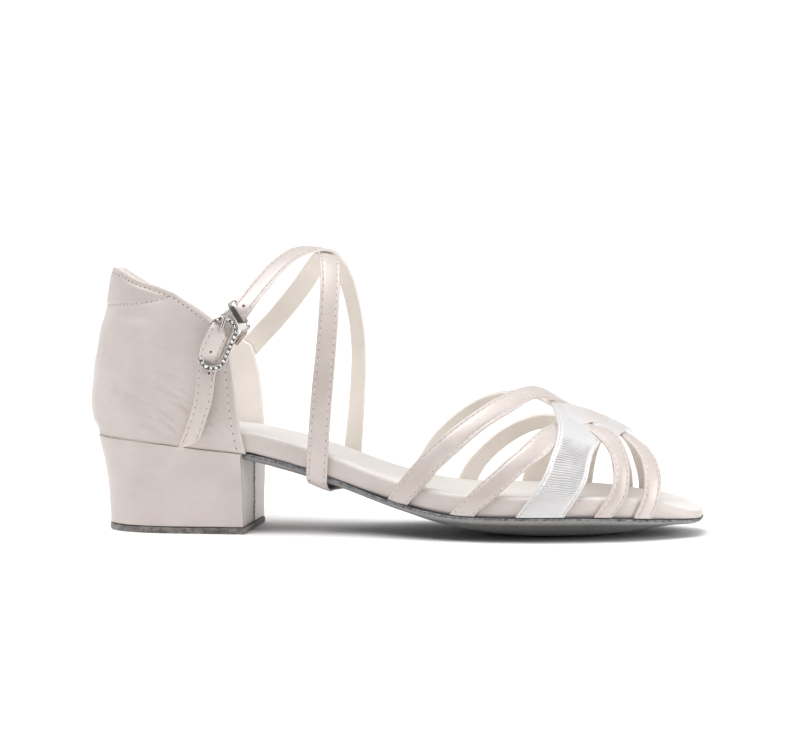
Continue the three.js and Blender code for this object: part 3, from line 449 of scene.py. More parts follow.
def facing_out(verts, faces):
    v = 0.0
    for f in faces:
        a = verts[f[0]]
        for i in range(1, len(f) - 1):
            v += np.dot(a, np.cross(verts[f[i]], verts[f[i + 1]]))
    return faces if v > 0 else [list(f)[::-1] for f in faces]


def ring_quads(rings, n):
    r = np.arange(rings - 1)[:, None]
    k = np.arange(n)[None, :]
    a, b = r * n + k, r * n + (k + 1) % n
    return np.stack([a, b, b + n, a + n], -1).reshape(-1, 4)


def signed(verts, quads):
    a, b, c, d = (verts[quads[:, i]] for i in range(4))
    return float(np.sum(a * np.cross(b, c)) + np.sum(a * np.cross(c, d)))


def lofted(name, P, materials, column_index, caps=True, attrs=None, cap_index=0):
    """Closed body from rings P[r, k]; column_index[k] is the material of the quads that start at point k."""
    R, N, _ = P.shape
    V = P.reshape(-1, 3)
    Q = ring_quads(R, N)
    idx = np.tile(np.asarray(column_index), R - 1)
    flip = signed(V, Q) < 0
    faces = (Q[:, ::-1] if flip else Q).tolist()
    idx = idx.tolist()
    if caps:
        first, last = list(range(N)), list(range((R - 1) * N, R * N))
        faces += [first if flip else first[::-1], last[::-1] if flip else last]
        idx += [cap_index, cap_index]
    return make_mesh(name, V, faces, materials, idx, attrs=attrs)


def stand_for(piece, slot, *nodes):
    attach(piece, "root")
    if nodes:
        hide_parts(*nodes)
    return piece


class Bits:
    """Small repeated shapes gathered into one mesh."""

    def __init__(self):
        self.v, self.f, self.m, self.n = [], [], [], 0

    def add(self, verts, faces, mat=0):
        self.v.append(np.asarray(verts, float))
        self.f += [[i + self.n for i in f] for f in faces]
        self.m += [mat] * len(faces)
        self.n += len(verts)

    def build(self, name, materials, flat=False):
        return make_mesh(name, np.vstack(self.v), self.f, materials, self.m, flat=flat)


def basis(axis, up):
    axis = unit(axis)
    up = unit(up - np.dot(up, axis) * axis)
    return axis, up, np.cross(axis, up)


# -------------------------------------------------------------- materials
def nodes_of(name):
    m = bpy.data.materials.new(name)
    m.use_nodes = True
    nt = m.node_tree
    nt.nodes.clear()
    out = nt.nodes.new("ShaderNodeOutputMaterial")
    b = nt.nodes.new("ShaderNodeBsdfPrincipled")
    nt.links.new(b.outputs[0], out.inputs[0])
    return m, nt, b


def add(nt, kind, **props):
    n = nt.nodes.new(kind)
    for k, v in props.items():
        setattr(n, k, v)
    return n


def where(nt, scale=(1, 1, 1), turn=(0, 0, 0)):
    tc = add(nt, "ShaderNodeTexCoord")
    mp = add(nt, "ShaderNodeMapping")
    mp.inputs["Scale"].default_value = scale
    mp.inputs["Rotation"].default_value = turn
    nt.links.new(tc.outputs["Object"], mp.inputs[0])
    return mp.outputs[0]


def noise_at(nt, vec, scale, detail=2.0, rough=0.5):
    n = add(nt, "ShaderNodeTexNoise")
    n.inputs["Scale"].default_value = scale
    n.inputs["Detail"].default_value = detail
    n.inputs["Roughness"].default_value = rough
    nt.links.new(vec, n.inputs["Vector"])
    return n.outputs[0]


def ramp(nt, fac, stops):
    r = add(nt, "ShaderNodeValToRGB")
    e = r.color_ramp.elements
    while len(e) < len(stops):
        e.new(0.5)
    for i, (pos, col) in enumerate(stops):
        e[i].position = pos
        e[i].color = (*col, 1) if len(col) == 3 else col
    nt.links.new(fac, r.inputs[0])
    return r.outputs[0]


def mix(nt, fac, a, b, kind="MIX"):
    n = add(nt, "ShaderNodeMix", data_type="RGBA", blend_type=kind)
    for value, socket in ((fac, n.inputs[0]), (a, n.inputs[6]), (b, n.inputs[7])):
        if isinstance(value, bpy.types.NodeSocket):
            nt.links.new(value, socket)
        elif isinstance(value, (int, float)):
            socket.default_value = value
        else:
            socket.default_value = (*value, 1)
    return n.outputs[2]


def calc(nt, op, a, b=None, c=None, clamp=False):
    n = add(nt, "ShaderNodeMath", operation=op, use_clamp=clamp)
    for i, value in enumerate((a, b, c)):
        if value is None:
            continue
        if isinstance(value, bpy.types.NodeSocket):
            nt.links.new(value, n.inputs[i])
        else:
            n.inputs[i].default_value = value
    return n.outputs[0]


def attribute(nt, name):
    a = add(nt, "ShaderNodeAttribute", attribute_name=name)
    return a.outputs["Fac"]


def bump(nt, height, strength, distance, normal=None):
    b = add(nt, "ShaderNodeBump")
    b.inputs["Strength"].default_value = strength
    b.inputs["Distance"].default_value = distance
    nt.links.new(height, b.inputs["Height"])
    if normal is not None:
        nt.links.new(normal, b.inputs["Normal"])
    return b.outputs[0]


def satin(name, light, dark, rough=0.42, grain=0.35, sheen=0.2, streak=(1, 1, 5), tint_and_shade=None, metal=0.25, slub=0.14):
    """Woven satin: soft mottling, long slubs, fine thread lines and a fine weave; an
    optional attribute tints it towards a second colour: seams, changes of fabric and painted shade."""
    m, nt, b = nodes_of(name)
    mottle = noise_at(nt, where(nt), 55, 3, 0.55)
    lines = noise_at(nt, where(nt, streak), 900, 2, 0.6)
    slubs = noise_at(nt, where(nt, (1, 1, 4.5), (0, 0.12, 0)), 230, 4, 0.62)
    fine = noise_at(nt, where(nt), 2600, 2, 0.6)
    col = ramp(nt, mottle, [(0.3, dark), (0.68, light)])
    col = mix(nt, ramp(nt, slubs, [(0.40, (slub, slub, slub)), (0.56, (0, 0, 0))]), col, tuple(c * 0.80 for c in dark))
    col = mix(nt, calc(nt, "MULTIPLY", lines, 0.16), col, tuple(c * 0.74 for c in dark))
    col = mix(nt, calc(nt, "MULTIPLY", fine, 0.13), col, tuple(min(1, c * 1.12) for c in light))
    if tint_and_shade:
        col = mix(nt, attribute(nt, tint_and_shade[0]), col, tint_and_shade[1])
    nt.links.new(col, b.inputs["Base Color"])
    r = calc(nt, "MULTIPLY_ADD", lines, 0.16, rough - 0.08)
    nt.links.new(r, b.inputs["Roughness"])
    n0 = bump(nt, slubs, grain * 0.7, 0.00022)
    n1 = bump(nt, lines, grain * 0.6, 0.00012, n0)
    n2 = bump(nt, fine, grain, 0.00008, n1)
    nt.links.new(n2, b.inputs["Normal"])
    b.inputs["Sheen Weight"].default_value = sheen
    b.inputs["Sheen Roughness"].default_value = 0.35
    b.inputs["Specular IOR Level"].default_value = 0.5
    b.inputs["Metallic"].default_value = metal
    return m


def plain_cloth(name, light, dark, rough=0.8, scale=1700, strength=0.35):
    m, nt, b = nodes_of(name)
    mottle = noise_at(nt, where(nt), 90, 3, 0.6)
    fine = noise_at(nt, where(nt), scale, 3, 0.65)
    col = ramp(nt, mottle, [(0.3, dark), (0.7, light)])
    col = mix(nt, calc(nt, "MULTIPLY", fine, 0.15), col, tuple(c * 0.8 for c in dark))
    nt.links.new(col, b.inputs["Base Color"])
    b.inputs["Roughness"].default_value = rough
    b.inputs["Sheen Weight"].default_value = 0.15
    nt.links.new(bump(nt, fine, strength, 0.0001), b.inputs["Normal"])
    return m


def suede(name, light, dark, spots=0.5):
    m, nt, b = nodes_of(name)
    nap = noise_at(nt, where(nt), 700, 5, 0.7)
    blot = noise_at(nt, where(nt, (1, 1, 2.2)), 190, 3, 0.6)
    col = ramp(nt, nap, [(0.34, dark), (0.64, light)])
    col = mix(nt, ramp(nt, blot, [(0.42, (0, 0, 0)), (0.62, (spots, spots, spots))]), col, tuple(c * 0.45 for c in dark))
    nt.links.new(col, b.inputs["Base Color"])
    b.inputs["Roughness"].default_value = 0.95
    b.inputs["Sheen Weight"].default_value = 0.35
    b.inputs["Sheen Roughness"].default_value = 0.6
    n1 = bump(nt, nap, 0.9, 0.00035)
    nt.links.new(bump(nt, noise_at(nt, where(nt), 2600, 2), 0.5, 0.0001, n1), b.inputs["Normal"])
    return m


def sole_edge(name):
    """Cut edge of the sole: dark fuzzy suede line at the top, lighter and smoother below, and painted near-black shadow
    over the underside.
    """
    m, nt, b = nodes_of(name)
    down = attribute(nt, "down")
    nap = noise_at(nt, where(nt), 900, 4, 0.7)
    blot = noise_at(nt, where(nt), 620, 4, 0.7)
    dark = ramp(nt, blot, [(0.35, (0.02, 0.023, 0.028)), (0.65, (0.26, 0.275, 0.29))])
    pale = ramp(nt, nap, [(0.3, (0.23, 0.218, 0.21)), (0.7, (0.33, 0.315, 0.30))])
    edge = calc(nt, "MULTIPLY_ADD", calc(nt, "SUBTRACT", nap, 0.5), 0.9, down)
    f = ramp(nt, edge, [(0.58, (0, 0, 0)), (0.80, (1, 1, 1))])
    col = mix(nt, f, dark, pale)
    # Painted shadow: the underside is tinted near black where the floor's contact shadow falls.
    under_shadow = attribute(nt, "under_shadow")
    col = mix(nt, under_shadow, col, (0.02, 0.02, 0.021))
    nt.links.new(col, b.inputs["Base Color"])
    b.inputs["Roughness"].default_value = 0.9
    b.inputs["Sheen Weight"].default_value = 0.25
    n1 = bump(nt, nap, 0.8, 0.0003)
    nt.links.new(n1, b.inputs["Normal"])
    return m


def metal(name, colour, rough, streaks=0.0):
    m, nt, b = nodes_of(name)
    n = noise_at(nt, where(nt), 420, 3, 0.6)
    nt.links.new(ramp(nt, n, [(0.3, tuple(c * 0.86 for c in colour)), (0.7, colour)]), b.inputs["Base Color"])
    b.inputs["Metallic"].default_value = 1.0
    nt.links.new(calc(nt, "MULTIPLY_ADD", n, 0.08, rough), b.inputs["Roughness"])
    nt.links.new(bump(nt, n, 0.12, 0.00005), b.inputs["Normal"])
    return m


SATIN = satin("satin_cover", (0.61, 0.548, 0.524), (0.535, 0.478, 0.455), rough=0.46, metal=0.2, tint_and_shade=("tint_and_shade", (0.20, 0.145, 0.115)))
# The strap satin's second colour is painted shade, laid on by the straps' shade bands.
STRAP = satin("satin_strap", (0.63, 0.565, 0.537), (0.55, 0.49, 0.465), rough=0.44, grain=0.5, metal=0.3, tint_and_shade=("tint_and_shade", (0.42, 0.34, 0.30)))
# The silver weave's second colour is painted shade for the rib grooves.
SILVER = satin("silver_weave", (0.70, 0.692, 0.692), (0.61, 0.602, 0.602), rough=0.42, grain=0.5, sheen=0.1, metal=0.4, slub=0.08, tint_and_shade=("tint_and_shade", (0.20, 0.19, 0.195)))
KNOT = satin("knot_weave", (0.70, 0.688, 0.686), (0.61, 0.598, 0.596), rough=0.42, grain=0.5, sheen=0.1, metal=0.35, slub=0.08, tint_and_shade=("tint_and_shade", (0.64, 0.585, 0.56)))
# Painted light: the heel breast's satin is a lighter colour than the rest of the heel cover, standing for the light
# that falls on its face.
LIT_BREAST = satin("breast_cover_lit", (0.88, 0.81, 0.78), (0.80, 0.735, 0.705), metal=0.1, tint_and_shade=("tint_and_shade", (0.22, 0.155, 0.12)))
LINING = plain_cloth("strap_lining", (0.89, 0.83, 0.765), (0.82, 0.76, 0.70))
CUP_LINING = plain_cloth("counter_lining", (0.84, 0.79, 0.745), (0.78, 0.73, 0.69))
INSOLE = satin("insole_cover", (0.60, 0.542, 0.515), (0.53, 0.473, 0.447), rough=0.5, grain=0.3, sheen=0.2, metal=0.1, tint_and_shade=("tint_and_shade", (0.34, 0.27, 0.23)))
SOCK = plain_cloth("insole_top", (0.675, 0.645, 0.622), (0.635, 0.605, 0.583), rough=0.75, scale=2200, strength=0.25)
THREAD = plain_cloth("stitch_thread", (0.72, 0.66, 0.63), (0.62, 0.56, 0.53), rough=0.55, scale=3200)
# Painted shade: the dark colour of needle and punched holes stands for the shade inside them.
HOLE_SHADE = plain_cloth("needle_hole_shade", (0.10, 0.06, 0.045), (0.05, 0.03, 0.025), rough=0.9)
RAW = plain_cloth("cut_edge", (0.42, 0.27, 0.17), (0.30, 0.19, 0.12), rough=0.9)
EDGE_SUEDE = sole_edge("sole_suede")
TIP_SUEDE = suede("tip_suede", (0.26, 0.235, 0.22), (0.075, 0.07, 0.068), 0.6)
CHROME = metal("chrome", (0.66, 0.635, 0.615), 0.07)
# Painted reflection: the keeper leg's metal is given a tan colour standing for the brownish reflections on it;
# otherwise it is plain metal.
WARM_REFLECTION = metal("warm_reflection_metal", (0.40, 0.335, 0.285), 0.2)
SETTING = metal("stone_setting", (0.13, 0.115, 0.105), 0.3)


def stone_material():
    m, nt, b = nodes_of("clear_stone")
    n = noise_at(nt, where(nt), 900, 1)
    nt.links.new(ramp(nt, n, [(0.35, (0.30, 0.29, 0.29)), (0.65, (0.66, 0.65, 0.65))]), b.inputs["Base Color"])
    b.inputs["Metallic"].default_value = 1.0
    b.inputs["Roughness"].default_value = 0.04
    b.inputs["Coat Weight"].default_value = 1.0
    b.inputs["Coat Roughness"].default_value = 0.02
    return m


STONE = stone_material()


# --------------------------------------------------------------- stitches
def along_line(points, pitch, start=0.0, stop=0.0):
    """Evenly spaced places on a line: index positions as floats."""
    seg = np.linalg.norm(np.diff(points, axis=0), axis=1)
    s = np.concatenate([[0], np.cumsum(seg)])
    n = max(2, int(round((s[-1] - start - stop) / pitch)) + 1)
    want = np.linspace(start, s[-1] - stop, n)
    return np.interp(want, s, np.arange(len(points)))


def sample(arr, t):
    i = np.clip(t.astype(int), 0, len(arr) - 2)
    f = (t - i)[:, None]
    return arr[i] * (1 - f) + arr[i + 1] * f


def sew(bits, points, normals, pitch=2.7, start=1.0, stop=1.0, thread=0.16, hole=0.43, lift=0.0):
    """A row of stitches along a line on a surface: thread between needle holes drawn as dark discs of painted shade."""
    t = along_line(points, pitch, start, stop)
    P, N = sample(points, t), unit(sample(normals, t))
    ang = np.arange(6) * math.pi / 3
    for i in range(len(P) - 1):
        a, b = P[i], P[i + 1]
        n = unit(N[i] + N[i + 1])
        d, up, side = basis(b - a, n)
        L = np.linalg.norm(b - a)
        rings = []
        for q in (0.10, 0.24, 0.5, 0.76, 0.90):
            swell = math.sin(math.pi * q)
            c = a + d * L * q + up * (lift - 0.06 + 0.17 * swell)
            r = thread * (0.5 + 0.5 * swell)
            rings.append(c + r * (0.8 * np.cos(ang)[:, None] * up + np.sin(ang)[:, None] * side))
        V = np.vstack(rings)
        F = ring_quads(5, 6).tolist() + [[5, 4, 3, 2, 1, 0], [24, 25, 26, 27, 28, 29]]
        bits.add(V, facing_out(V, F), 0)
    for i in range(len(P)):
        j = min(i, len(P) - 2)
        d, up, side = basis(P[j + 1] - P[j], N[i])
        ring = P[i] + up * (lift + 0.015) + hole * (0.95 * np.cos(ang)[:, None] * d + 0.85 * np.sin(ang)[:, None] * side)
        V = np.vstack([ring, P[i] + up * (lift + 0.05), P[i] - up * 0.15])
        F = [[k, (k + 1) % 6, 6] for k in range(6)] + [[(k + 1) % 6, k, 7] for k in range(6)]
        bits.add(V, facing_out(V, F), 1)


def punched(bits, p, n, along, r=0.62):
    """A small round punched hole with a soft raised lip; its inside is a dark disc and cone of painted shade."""
    d, up, side = basis(along, n)
    k = np.arange(14) * 2 * math.pi / 14
    c, s = np.cos(k)[:, None], np.sin(k)[:, None]
    rows = [(r * 1.55, -0.10), (r * 1.3, 0.06), (r * 1.12, 0.10), (r * 0.96, 0.04)]
    V = np.vstack([p + up * h + q * (c * d + s * side) for q, h in rows] + [p + up * 0.0 + r * 0.9 * (c * d + s * side)])
    bits.add(V, ring_quads(5, 14).tolist(), 2)
    V = np.vstack([p + up * 0.03 + r * 0.97 * (c * d + s * side), (p + up * 0.03)[None], (p - up * 0.3)[None]])
    F = [[i, (i + 1) % 14, 14] for i in range(14)] + [[(i + 1) % 14, i, 15] for i in range(14)]
    bits.add(V, facing_out(V, F), 1)


# ----------------------------------------------------------------- straps
EDGE_MM = np.array([0.0, 0.05, 0.16, 0.34, 0.58, 0.85, 1.08, 1.3, 1.52, 1.8])


def section(width, interior=8):
    """Places across a strap, 0 to 1, close together at its folded edges."""
    mid = np.linspace(1.8 / width, 1 - 1.8 / width, interior + 2)[1:-1]
    return np.concatenate([EDGE_MM / width, mid, 1 - EDGE_MM[::-1] / width])


def over(e, thick, margin=1.3, groove=0.13, crown=0.14):
    r = thick * 0.36
    u = np.clip(e / r, 0, 1)
    h = thick / 2 + (thick / 2) * np.sqrt(np.maximum(0, 1 - (1 - u) ** 2)) - 0.12
    h = h + 0.04 * np.exp(-((e - margin * 0.62) / 0.40) ** 2) - groove * np.exp(-((e - margin) / 0.26) ** 2)
    return h + 0.12 * smooth((e - margin) / 0.6) + crown * smooth((e - margin) / 2.4)


def below(e, thick):
    r = thick / 2
    u = np.clip(e / r, 0, 1)
    return r - r * np.sqrt(np.maximum(0, 1 - (1 - u) ** 2))


def strap_body(name, frame_at, rows, thick, mats, seed, interior=8, relief=None, margin=1.3, shade=None, wave=0.10):
    """A strap as a closed body. frame_at(row, k) gives points on its underside and
    their normals for places k across; returns the piece and its stitch lines."""
    rings, shades = [], []
    lines = [[], [], [], []]
    n = 20 + interior
    for i, row in enumerate(rows):
        k, w, p, nor = frame_at(row)
        e = np.minimum(k, 1 - k) * w
        top = over(e, thick, margin)
        wob = wave * undulate(p, 17.0, seed)
        if relief is not None:
            top = top + relief(i, k, e, p)
        ring = np.vstack([p + nor * (top + wob)[:, None], (p + nor * (below(e, thick) + wob)[:, None])[1:-1][::-1]])
        rings.append(ring)
        s = shade(i, k, e, p) if shade is not None else np.zeros(len(k))
        shades.append(np.concatenate([s, s[1:-1][::-1]]))
        for j, m in ((0, margin / w), (1, 1 - margin / w)):
            q = [np.interp(m, k, (p[:, c] + nor[:, c] * (top + wob))) for c in range(3)]
            lines[j].append(q)
            lines[j + 2].append([np.interp(m, k, nor[:, c]) for c in range(3)])
    P = np.array(rings)
    idx = np.concatenate([np.zeros(n - 1), np.ones(n - 1)]).astype(int)
    piece = lofted(name, P, mats, idx, attrs={"tint_and_shade": np.array(shades)}, cap_index=0)
    return piece, [np.array(x) for x in lines]


def on_foot(row, thick, seed, interior=8):
    xr, dr, xf, df, lift = row
    base = foot(np.linspace(xr, xf, 5), np.clip(np.linspace(dr, df, 5), 0, 180))
    w = float(np.sum(np.linalg.norm(np.diff(base, axis=0), axis=1)))
    k = section(w, interior)
    x, d = lerp(xr, xf, k), np.clip(lerp(dr, df, k), 0, 180)
    return k, w, foot(x, d) + foot_normal(x, d) * lift, foot_normal(x, d)


def low_painted_shade(i, k, e, p):
    """Painted shade: the satin's colour turns darker where a strap stands upright above the sole, standing in for its
    dark reflection there.
    """
    return 0.34 * np.exp(-((p[:, 2] - FEATHER(p[:, 0]) - 11.5) / 6.5) ** 2) * (0.8 + 0.2 * undulate(p, 12.0, 91, 2))


# Painted shade: a darker band of colour on the upright outer side of the instep strap, standing in for the satin's dark
# reflection there.
def upright_painted_shade(i, k, e, p):
    near = 1 - smooth((p[:, 1] + 16) / 6)
    return 0.46 * near * np.exp(-((p[:, 2] - 62.0) / 17.0) ** 2) * smooth((p[:, 0] - 84) / 6) * (0.85 + 0.15 * undulate(p, 14.0, 92, 2))


def widened(table, by):
    """Each row opened by some millimetres on both sides, less at the ends."""
    return [[a - by * math.sqrt(abs(math.sin(math.pi * i / (len(table) - 1)))), b, c + by * math.sqrt(abs(math.sin(math.pi * i / (len(table) - 1)))), *r] for i, (a, b, c, *r) in enumerate(table)]


def toe_strap(name, table, thick, mats, seed, steps=10, interior=8, relief=None, stitch=True, shade=None, bits=None, wave=0.10, trim=(2.0, 2.0)):
    rows = through(table, steps)
    # the toe straps get the painted shade band unless given another tint
    piece, lines = strap_body(name, lambda r: on_foot(r, thick, seed, interior), rows, thick, mats, seed, interior, relief, shade=shade or low_painted_shade, wave=wave)
    stand_for(piece, "strap_satin", "vamp_straps")
    if stitch:
        for j in (0, 1):
            sew(bits, lines[j], lines[j + 2], 2.75, *trim)
    return piece, lines


# the toe straps as they lie in the knot: some pass beneath the silver strap
NEAR_REAR = [
  # xRear, degRear, xFront, degFront, lift
  [123.1, 180, 131.5, 180, 0.35],
  [130.4, 171.0, 138.3, 172.9, 0.75],
  [138.1, 161.4, 144.7, 164.9, 0.75],
  [147.1, 150.2, 153.7, 154.0, 0.85],
  [156.6, 137.4, 162.4, 141.5, 1.1],
  [165.1, 123.3, 170.1, 130.5, 1.6],
  [171.1, 112.5, 174.7, 122.0, 2.0],
  [176.5, 100.5, 179.0, 111.0, 2.1],
  [181.0, 88.0, 183.5, 99.0, 2.05],
  [187.0, 76.0, 189.5, 86.0, 2.0],
  [194.0, 64.0, 197.5, 73.0, 2.0],
  [200.5, 51.0, 205.0, 59.0, 1.9],
  [204.5, 40.0, 210.0, 47.0, 1.4],
  [207.0, 28.0, 213.5, 33.0, 1.0],
  [208.0, 16.0, 215.5, 18.0, 0.75],
  [208.5, 0, 216.1, 0, 0.35]]

NEAR_FRONT = [
  [148.6, 180, 158.6, 180, 0.35],
  [154.3, 175.0, 165.3, 174.0, 0.75],
  [160.9, 168.0, 172.4, 166.5, 0.75],
  [168.9, 158.5, 179.4, 157.5, 0.75],
  [176.9, 147.0, 185.9, 146.8, 0.6],
  [183.0, 133.4, 190.5, 133.6, 0.1],
  [189.0, 117.5, 196.0, 119.5, -0.9],
  [195.5, 101.0, 202.5, 103.0, -1.25],
  [203.0, 86.0, 210.0, 88.0, -1.25],
  [209.5, 68.0, 217.0, 72.0, -0.8],
  [214.5, 48.0, 222.0, 54.0, 0.0],
  [217.0, 30.0, 224.5, 34.0, 0.5],
  [218.5, 14.0, 226.0, 15.0, 0.75],
  [218.5, 0, 226.0, 0, 0.35]]

FAR_REAR = [
  [123.5, 0, 132.0, 0, 0.35],
  [133.9, 18.0, 141.5, 19.0, 0.75],
  [143.4, 31.0, 151.0, 32.0, 0.2],
  [155.5, 47.0, 162.5, 48.0, -0.6],
  [165.5, 60.0, 172.5, 60.0, -1.0],
  [175.0, 72.0, 182.0, 71.0, -1.2],
  [184.5, 83.0, 191.0, 79.0, -1.25],
  [193.0, 93.0, 198.5, 87.0, -1.25]]

OUT_OF_KNOT = [
  [197.2, 113.5, 202.8, 103.0, 0.1],
  [200.2, 117.5, 206.2, 108.5, 1.2],
  [203.4, 122.0, 209.9, 114.5, 1.75],
  [207.4, 129.1, 213.3, 120.5, 1.6],
  [209.6, 134.5, 215.4, 127.5, 1.1],
  [211.1, 140.5, 217.2, 135.5, 0.8],
  [212.1, 149.0, 218.2, 147.0, 0.75],
  [211.6, 160.6, 217.8, 161.5, 0.75],
  [208.9, 171.0, 215.7, 171.8, 0.75],
  [205.0, 180, 212.0, 180, 0.35]]

FAR_FRONT = [
  [142.5, 0, 150.0, 0, 0.35],
  [147.5, 10.2, 155.4, 10.4, 0.75],
  [155.8, 21.2, 163.4, 20.3, 0.75],
  [165.2, 32.6, 172.0, 29.6, 0.2],
  [175.8, 44.6, 182.5, 40.0, -0.7],
  [188.0, 60.0, 195.0, 55.0, -1.1],
  [200.0, 78.0, 206.5, 71.0, -1.25],
  [209.0, 95.0, 215.5, 87.0, -1.2],
  [214.4, 108.0, 219.5, 99.0, -0.1],
  [218.7, 117.0, 224.2, 109.0, 0.6],
  [222.3, 130.5, 228.3, 125.0, 0.75],
  [223.8, 148.5, 230.1, 145.5, 0.75],
  [223.0, 166.0, 229.4, 165.0, 0.75],
  [220.2, 180, 226.8, 180, 0.35]]

SILVER_STRAP = [
  [174.7, 180, 193.8, 180, 0.4],
  [180.8, 171.0, 198.0, 171.0, 0.8],
  [185.4, 159.3, 201.9, 159.4, 0.8],
  [187.8, 146.5, 203.3, 146.5, 0.8],
  [189.3, 135.5, 204.2, 138.0, 0.85],
  [189.3, 124.0, 206.0, 129.5, 0.8],
  [187.8, 112.0, 208.5, 115.0, 0.65],
  [185.0, 97.0, 209.5, 99.0, 0.45],
  [183.0, 82.0, 209.0, 83.0, 0.35],
  [184.0, 66.0, 208.0, 68.0, 0.35],
  [185.0, 50.0, 206.0, 52.0, 0.6],
  [181.0, 35.0, 203.0, 37.0, 0.85],
  [174.5, 20.0, 200.5, 21.0, 0.8],
  [168.5, 0, 198.5, 0, 0.4]]

KNOT_HUMP = [
  # xNear, degNear, liftNear, xFar, degFar, liftFar
  [190.5, 118.0, 0.5, 185.5, 90.0, 0.55],
  [194.0, 117.5, 0.8, 189.0, 84.0, 1.6],
  [197.4, 116.0, 1.25, 192.8, 78.0, 2.6],
  [200.0, 111.8, 2.1, 196.6, 75.0, 3.05],
  [202.3, 108.4, 2.6, 200.4, 74.0, 3.0],
  [204.6, 106.6, 2.5, 203.8, 74.0, 2.6],
  [206.8, 106.0, 2.1, 207.0, 76.0, 2.0],
  [208.6, 105.0, 1.3, 209.6, 80.0, 1.2]]

KNOT_TIP = [
  [201.0, 105.0, 1.3, 204.5, 78.0, 1.3],
  [202.8, 109.5, 1.75, 206.3, 78.0, 1.6],
  [205.4, 112.5, 1.8, 209.0, 78.0, 1.5],
  [208.9, 115.5, 1.6, 213.2, 79.0, 1.3],
  [212.4, 119.0, 1.3, 217.2, 80.0, 1.0]]


def patch(name, table, thick, mats, seed, interior=14, shade=None):
    """A short piece of the knot, rounded at both ends; its lift differs from edge to edge."""
    rows = through(table, 10)
    mid = np.array([foot(lerp(r[0], r[3], 0.5), lerp(r[1], r[4], 0.5)) for r in rows])
    run = np.concatenate([[0], np.cumsum(np.linalg.norm(np.diff(mid, axis=0), axis=1))])
    total = run[-1]
    where_ = np.unique(np.concatenate([np.array([0, 0.04, 0.12, 0.25, 0.42, 0.62]), np.linspace(0.8, total - 0.8, 46), total - np.array([0, 0.04, 0.12, 0.25, 0.42, 0.62])]))
    rings, shades = [], []
    for s in where_:
        r = np.array([np.interp(s, run, rows[:, c]) for c in range(6)])
        base = foot(np.linspace(r[0], r[3], 5), np.linspace(r[1], r[4], 5))
        w = float(np.sum(np.linalg.norm(np.diff(base, axis=0), axis=1)))
        k = section(w, interior)
        x, d = lerp(r[0], r[3], k), lerp(r[1], r[4], k)
        nor = foot_normal(x, d)
        p = foot(x, d) + nor * lerp(r[2], r[5], k)[:, None]
        e = np.minimum(k, 1 - k) * w
        f = math.sqrt(max(0.02, 1 - (1 - min(1, min(s, total - s) / (thick / 2))) ** 2))
        top = thick / 2 + (over(e, thick, 1.3, 0.0, 0.05) - thick / 2) * f + 0.08 * undulate(p, 8.0, seed)
        bot = thick / 2 + (below(e, thick) - thick / 2) * f
        rings.append(np.vstack([p + nor * top[:, None], (p + nor * bot[:, None])[1:-1][::-1]]))
        sh = shade(s / total, k) if shade is not None else np.zeros(len(k))
        shades.append(np.concatenate([sh, sh[1:-1][::-1]]))
    P = np.array(rings)
    n = P.shape[1] // 2 + 1
    idx = np.concatenate([np.zeros(n - 1), np.ones(n - 1)]).astype(int)
    piece = lofted(name, P, mats, idx, attrs={"tint_and_shade": np.array(shades)})
    return stand_for(piece, "strap_satin", "vamp_straps")


vamp_bits = Bits()
toe_strap("strap_outer_rear", widened(NEAR_REAR, 0.45), STRAP_T, [STRAP, LINING], 11, bits=vamp_bits)
toe_strap("strap_outer_front", widened(NEAR_FRONT, 0.45), STRAP_T, [STRAP, LINING], 12, bits=vamp_bits)
toe_strap("strap_inner_rear", FAR_REAR, STRAP_T, [STRAP, LINING], 13, bits=vamp_bits)
toe_strap("strap_from_knot", OUT_OF_KNOT, STRAP_T, [STRAP, LINING], 16, bits=vamp_bits, trim=(6.5, 2.0))
patch("knot_hump", KNOT_HUMP, 1.2, [KNOT, LINING], 17, shade=lambda s, k: np.full(len(k), float(smooth((s - 0.34) / 0.36))))
patch("knot_tip", KNOT_TIP, 1.2, [KNOT, LINING], 18)
toe_strap("strap_inner_front", FAR_FRONT, STRAP_T, [STRAP, LINING], 14, bits=vamp_bits)

# the silver strap: raised cross ribs on both flanks, smooth over the top
SADDLE_STEPS = 54
_saddle = through(SILVER_STRAP, SADDLE_STEPS)
_mid = np.array([foot(lerp(r[0], r[2], 0.5), np.clip(lerp(r[1], r[3], 0.5), 0, 180)) for r in _saddle])
_run = np.concatenate([[0], np.cumsum(np.linalg.norm(np.diff(_mid, axis=0), axis=1))])
RIB_PITCH = 0.97


def ribbed(i):
    s = _run[i]
    total = _run[-1]
    return smooth((s - 7.5) / 5) * (1 - smooth((s - 32) / 7)) + smooth((s - (total - 40)) / 7) * (1 - smooth((s - (total - 9)) / 5))


def rib_relief(i, k, e, p):
    s = _run[i]
    jitter = 0.35 * undulate(p, 9.0, 77, 2)
    rib = 0.5 + 0.5 * np.cos(2 * math.pi * (s / RIB_PITCH + jitter))
    inner = smooth((e - 2.0) / 0.4)
    deep = 0.5 + 0.5 * undulate(p, 6.0, 78, 2)
    return -0.24 * (1 - rib ** 0.6) * inner * ribbed(i) * (0.55 + 0.45 * deep) + 0.02 * rib


# Painted shade: darker colour in the grooves between the ribs.
def rib_painted_shade(i, k, e, p):
    s = _run[i]
    jitter = 0.35 * undulate(p, 9.0, 77, 2)
    rib = 0.5 + 0.5 * np.cos(2 * math.pi * (s / RIB_PITCH + jitter))
    deep = 0.5 + 0.5 * undulate(p, 6.0, 78, 2)
    return np.clip((1 - rib) ** 2.2, 0, 1) * smooth((e - 1.9) / 0.4) * ribbed(i) * (0.35 + 0.5 * deep)


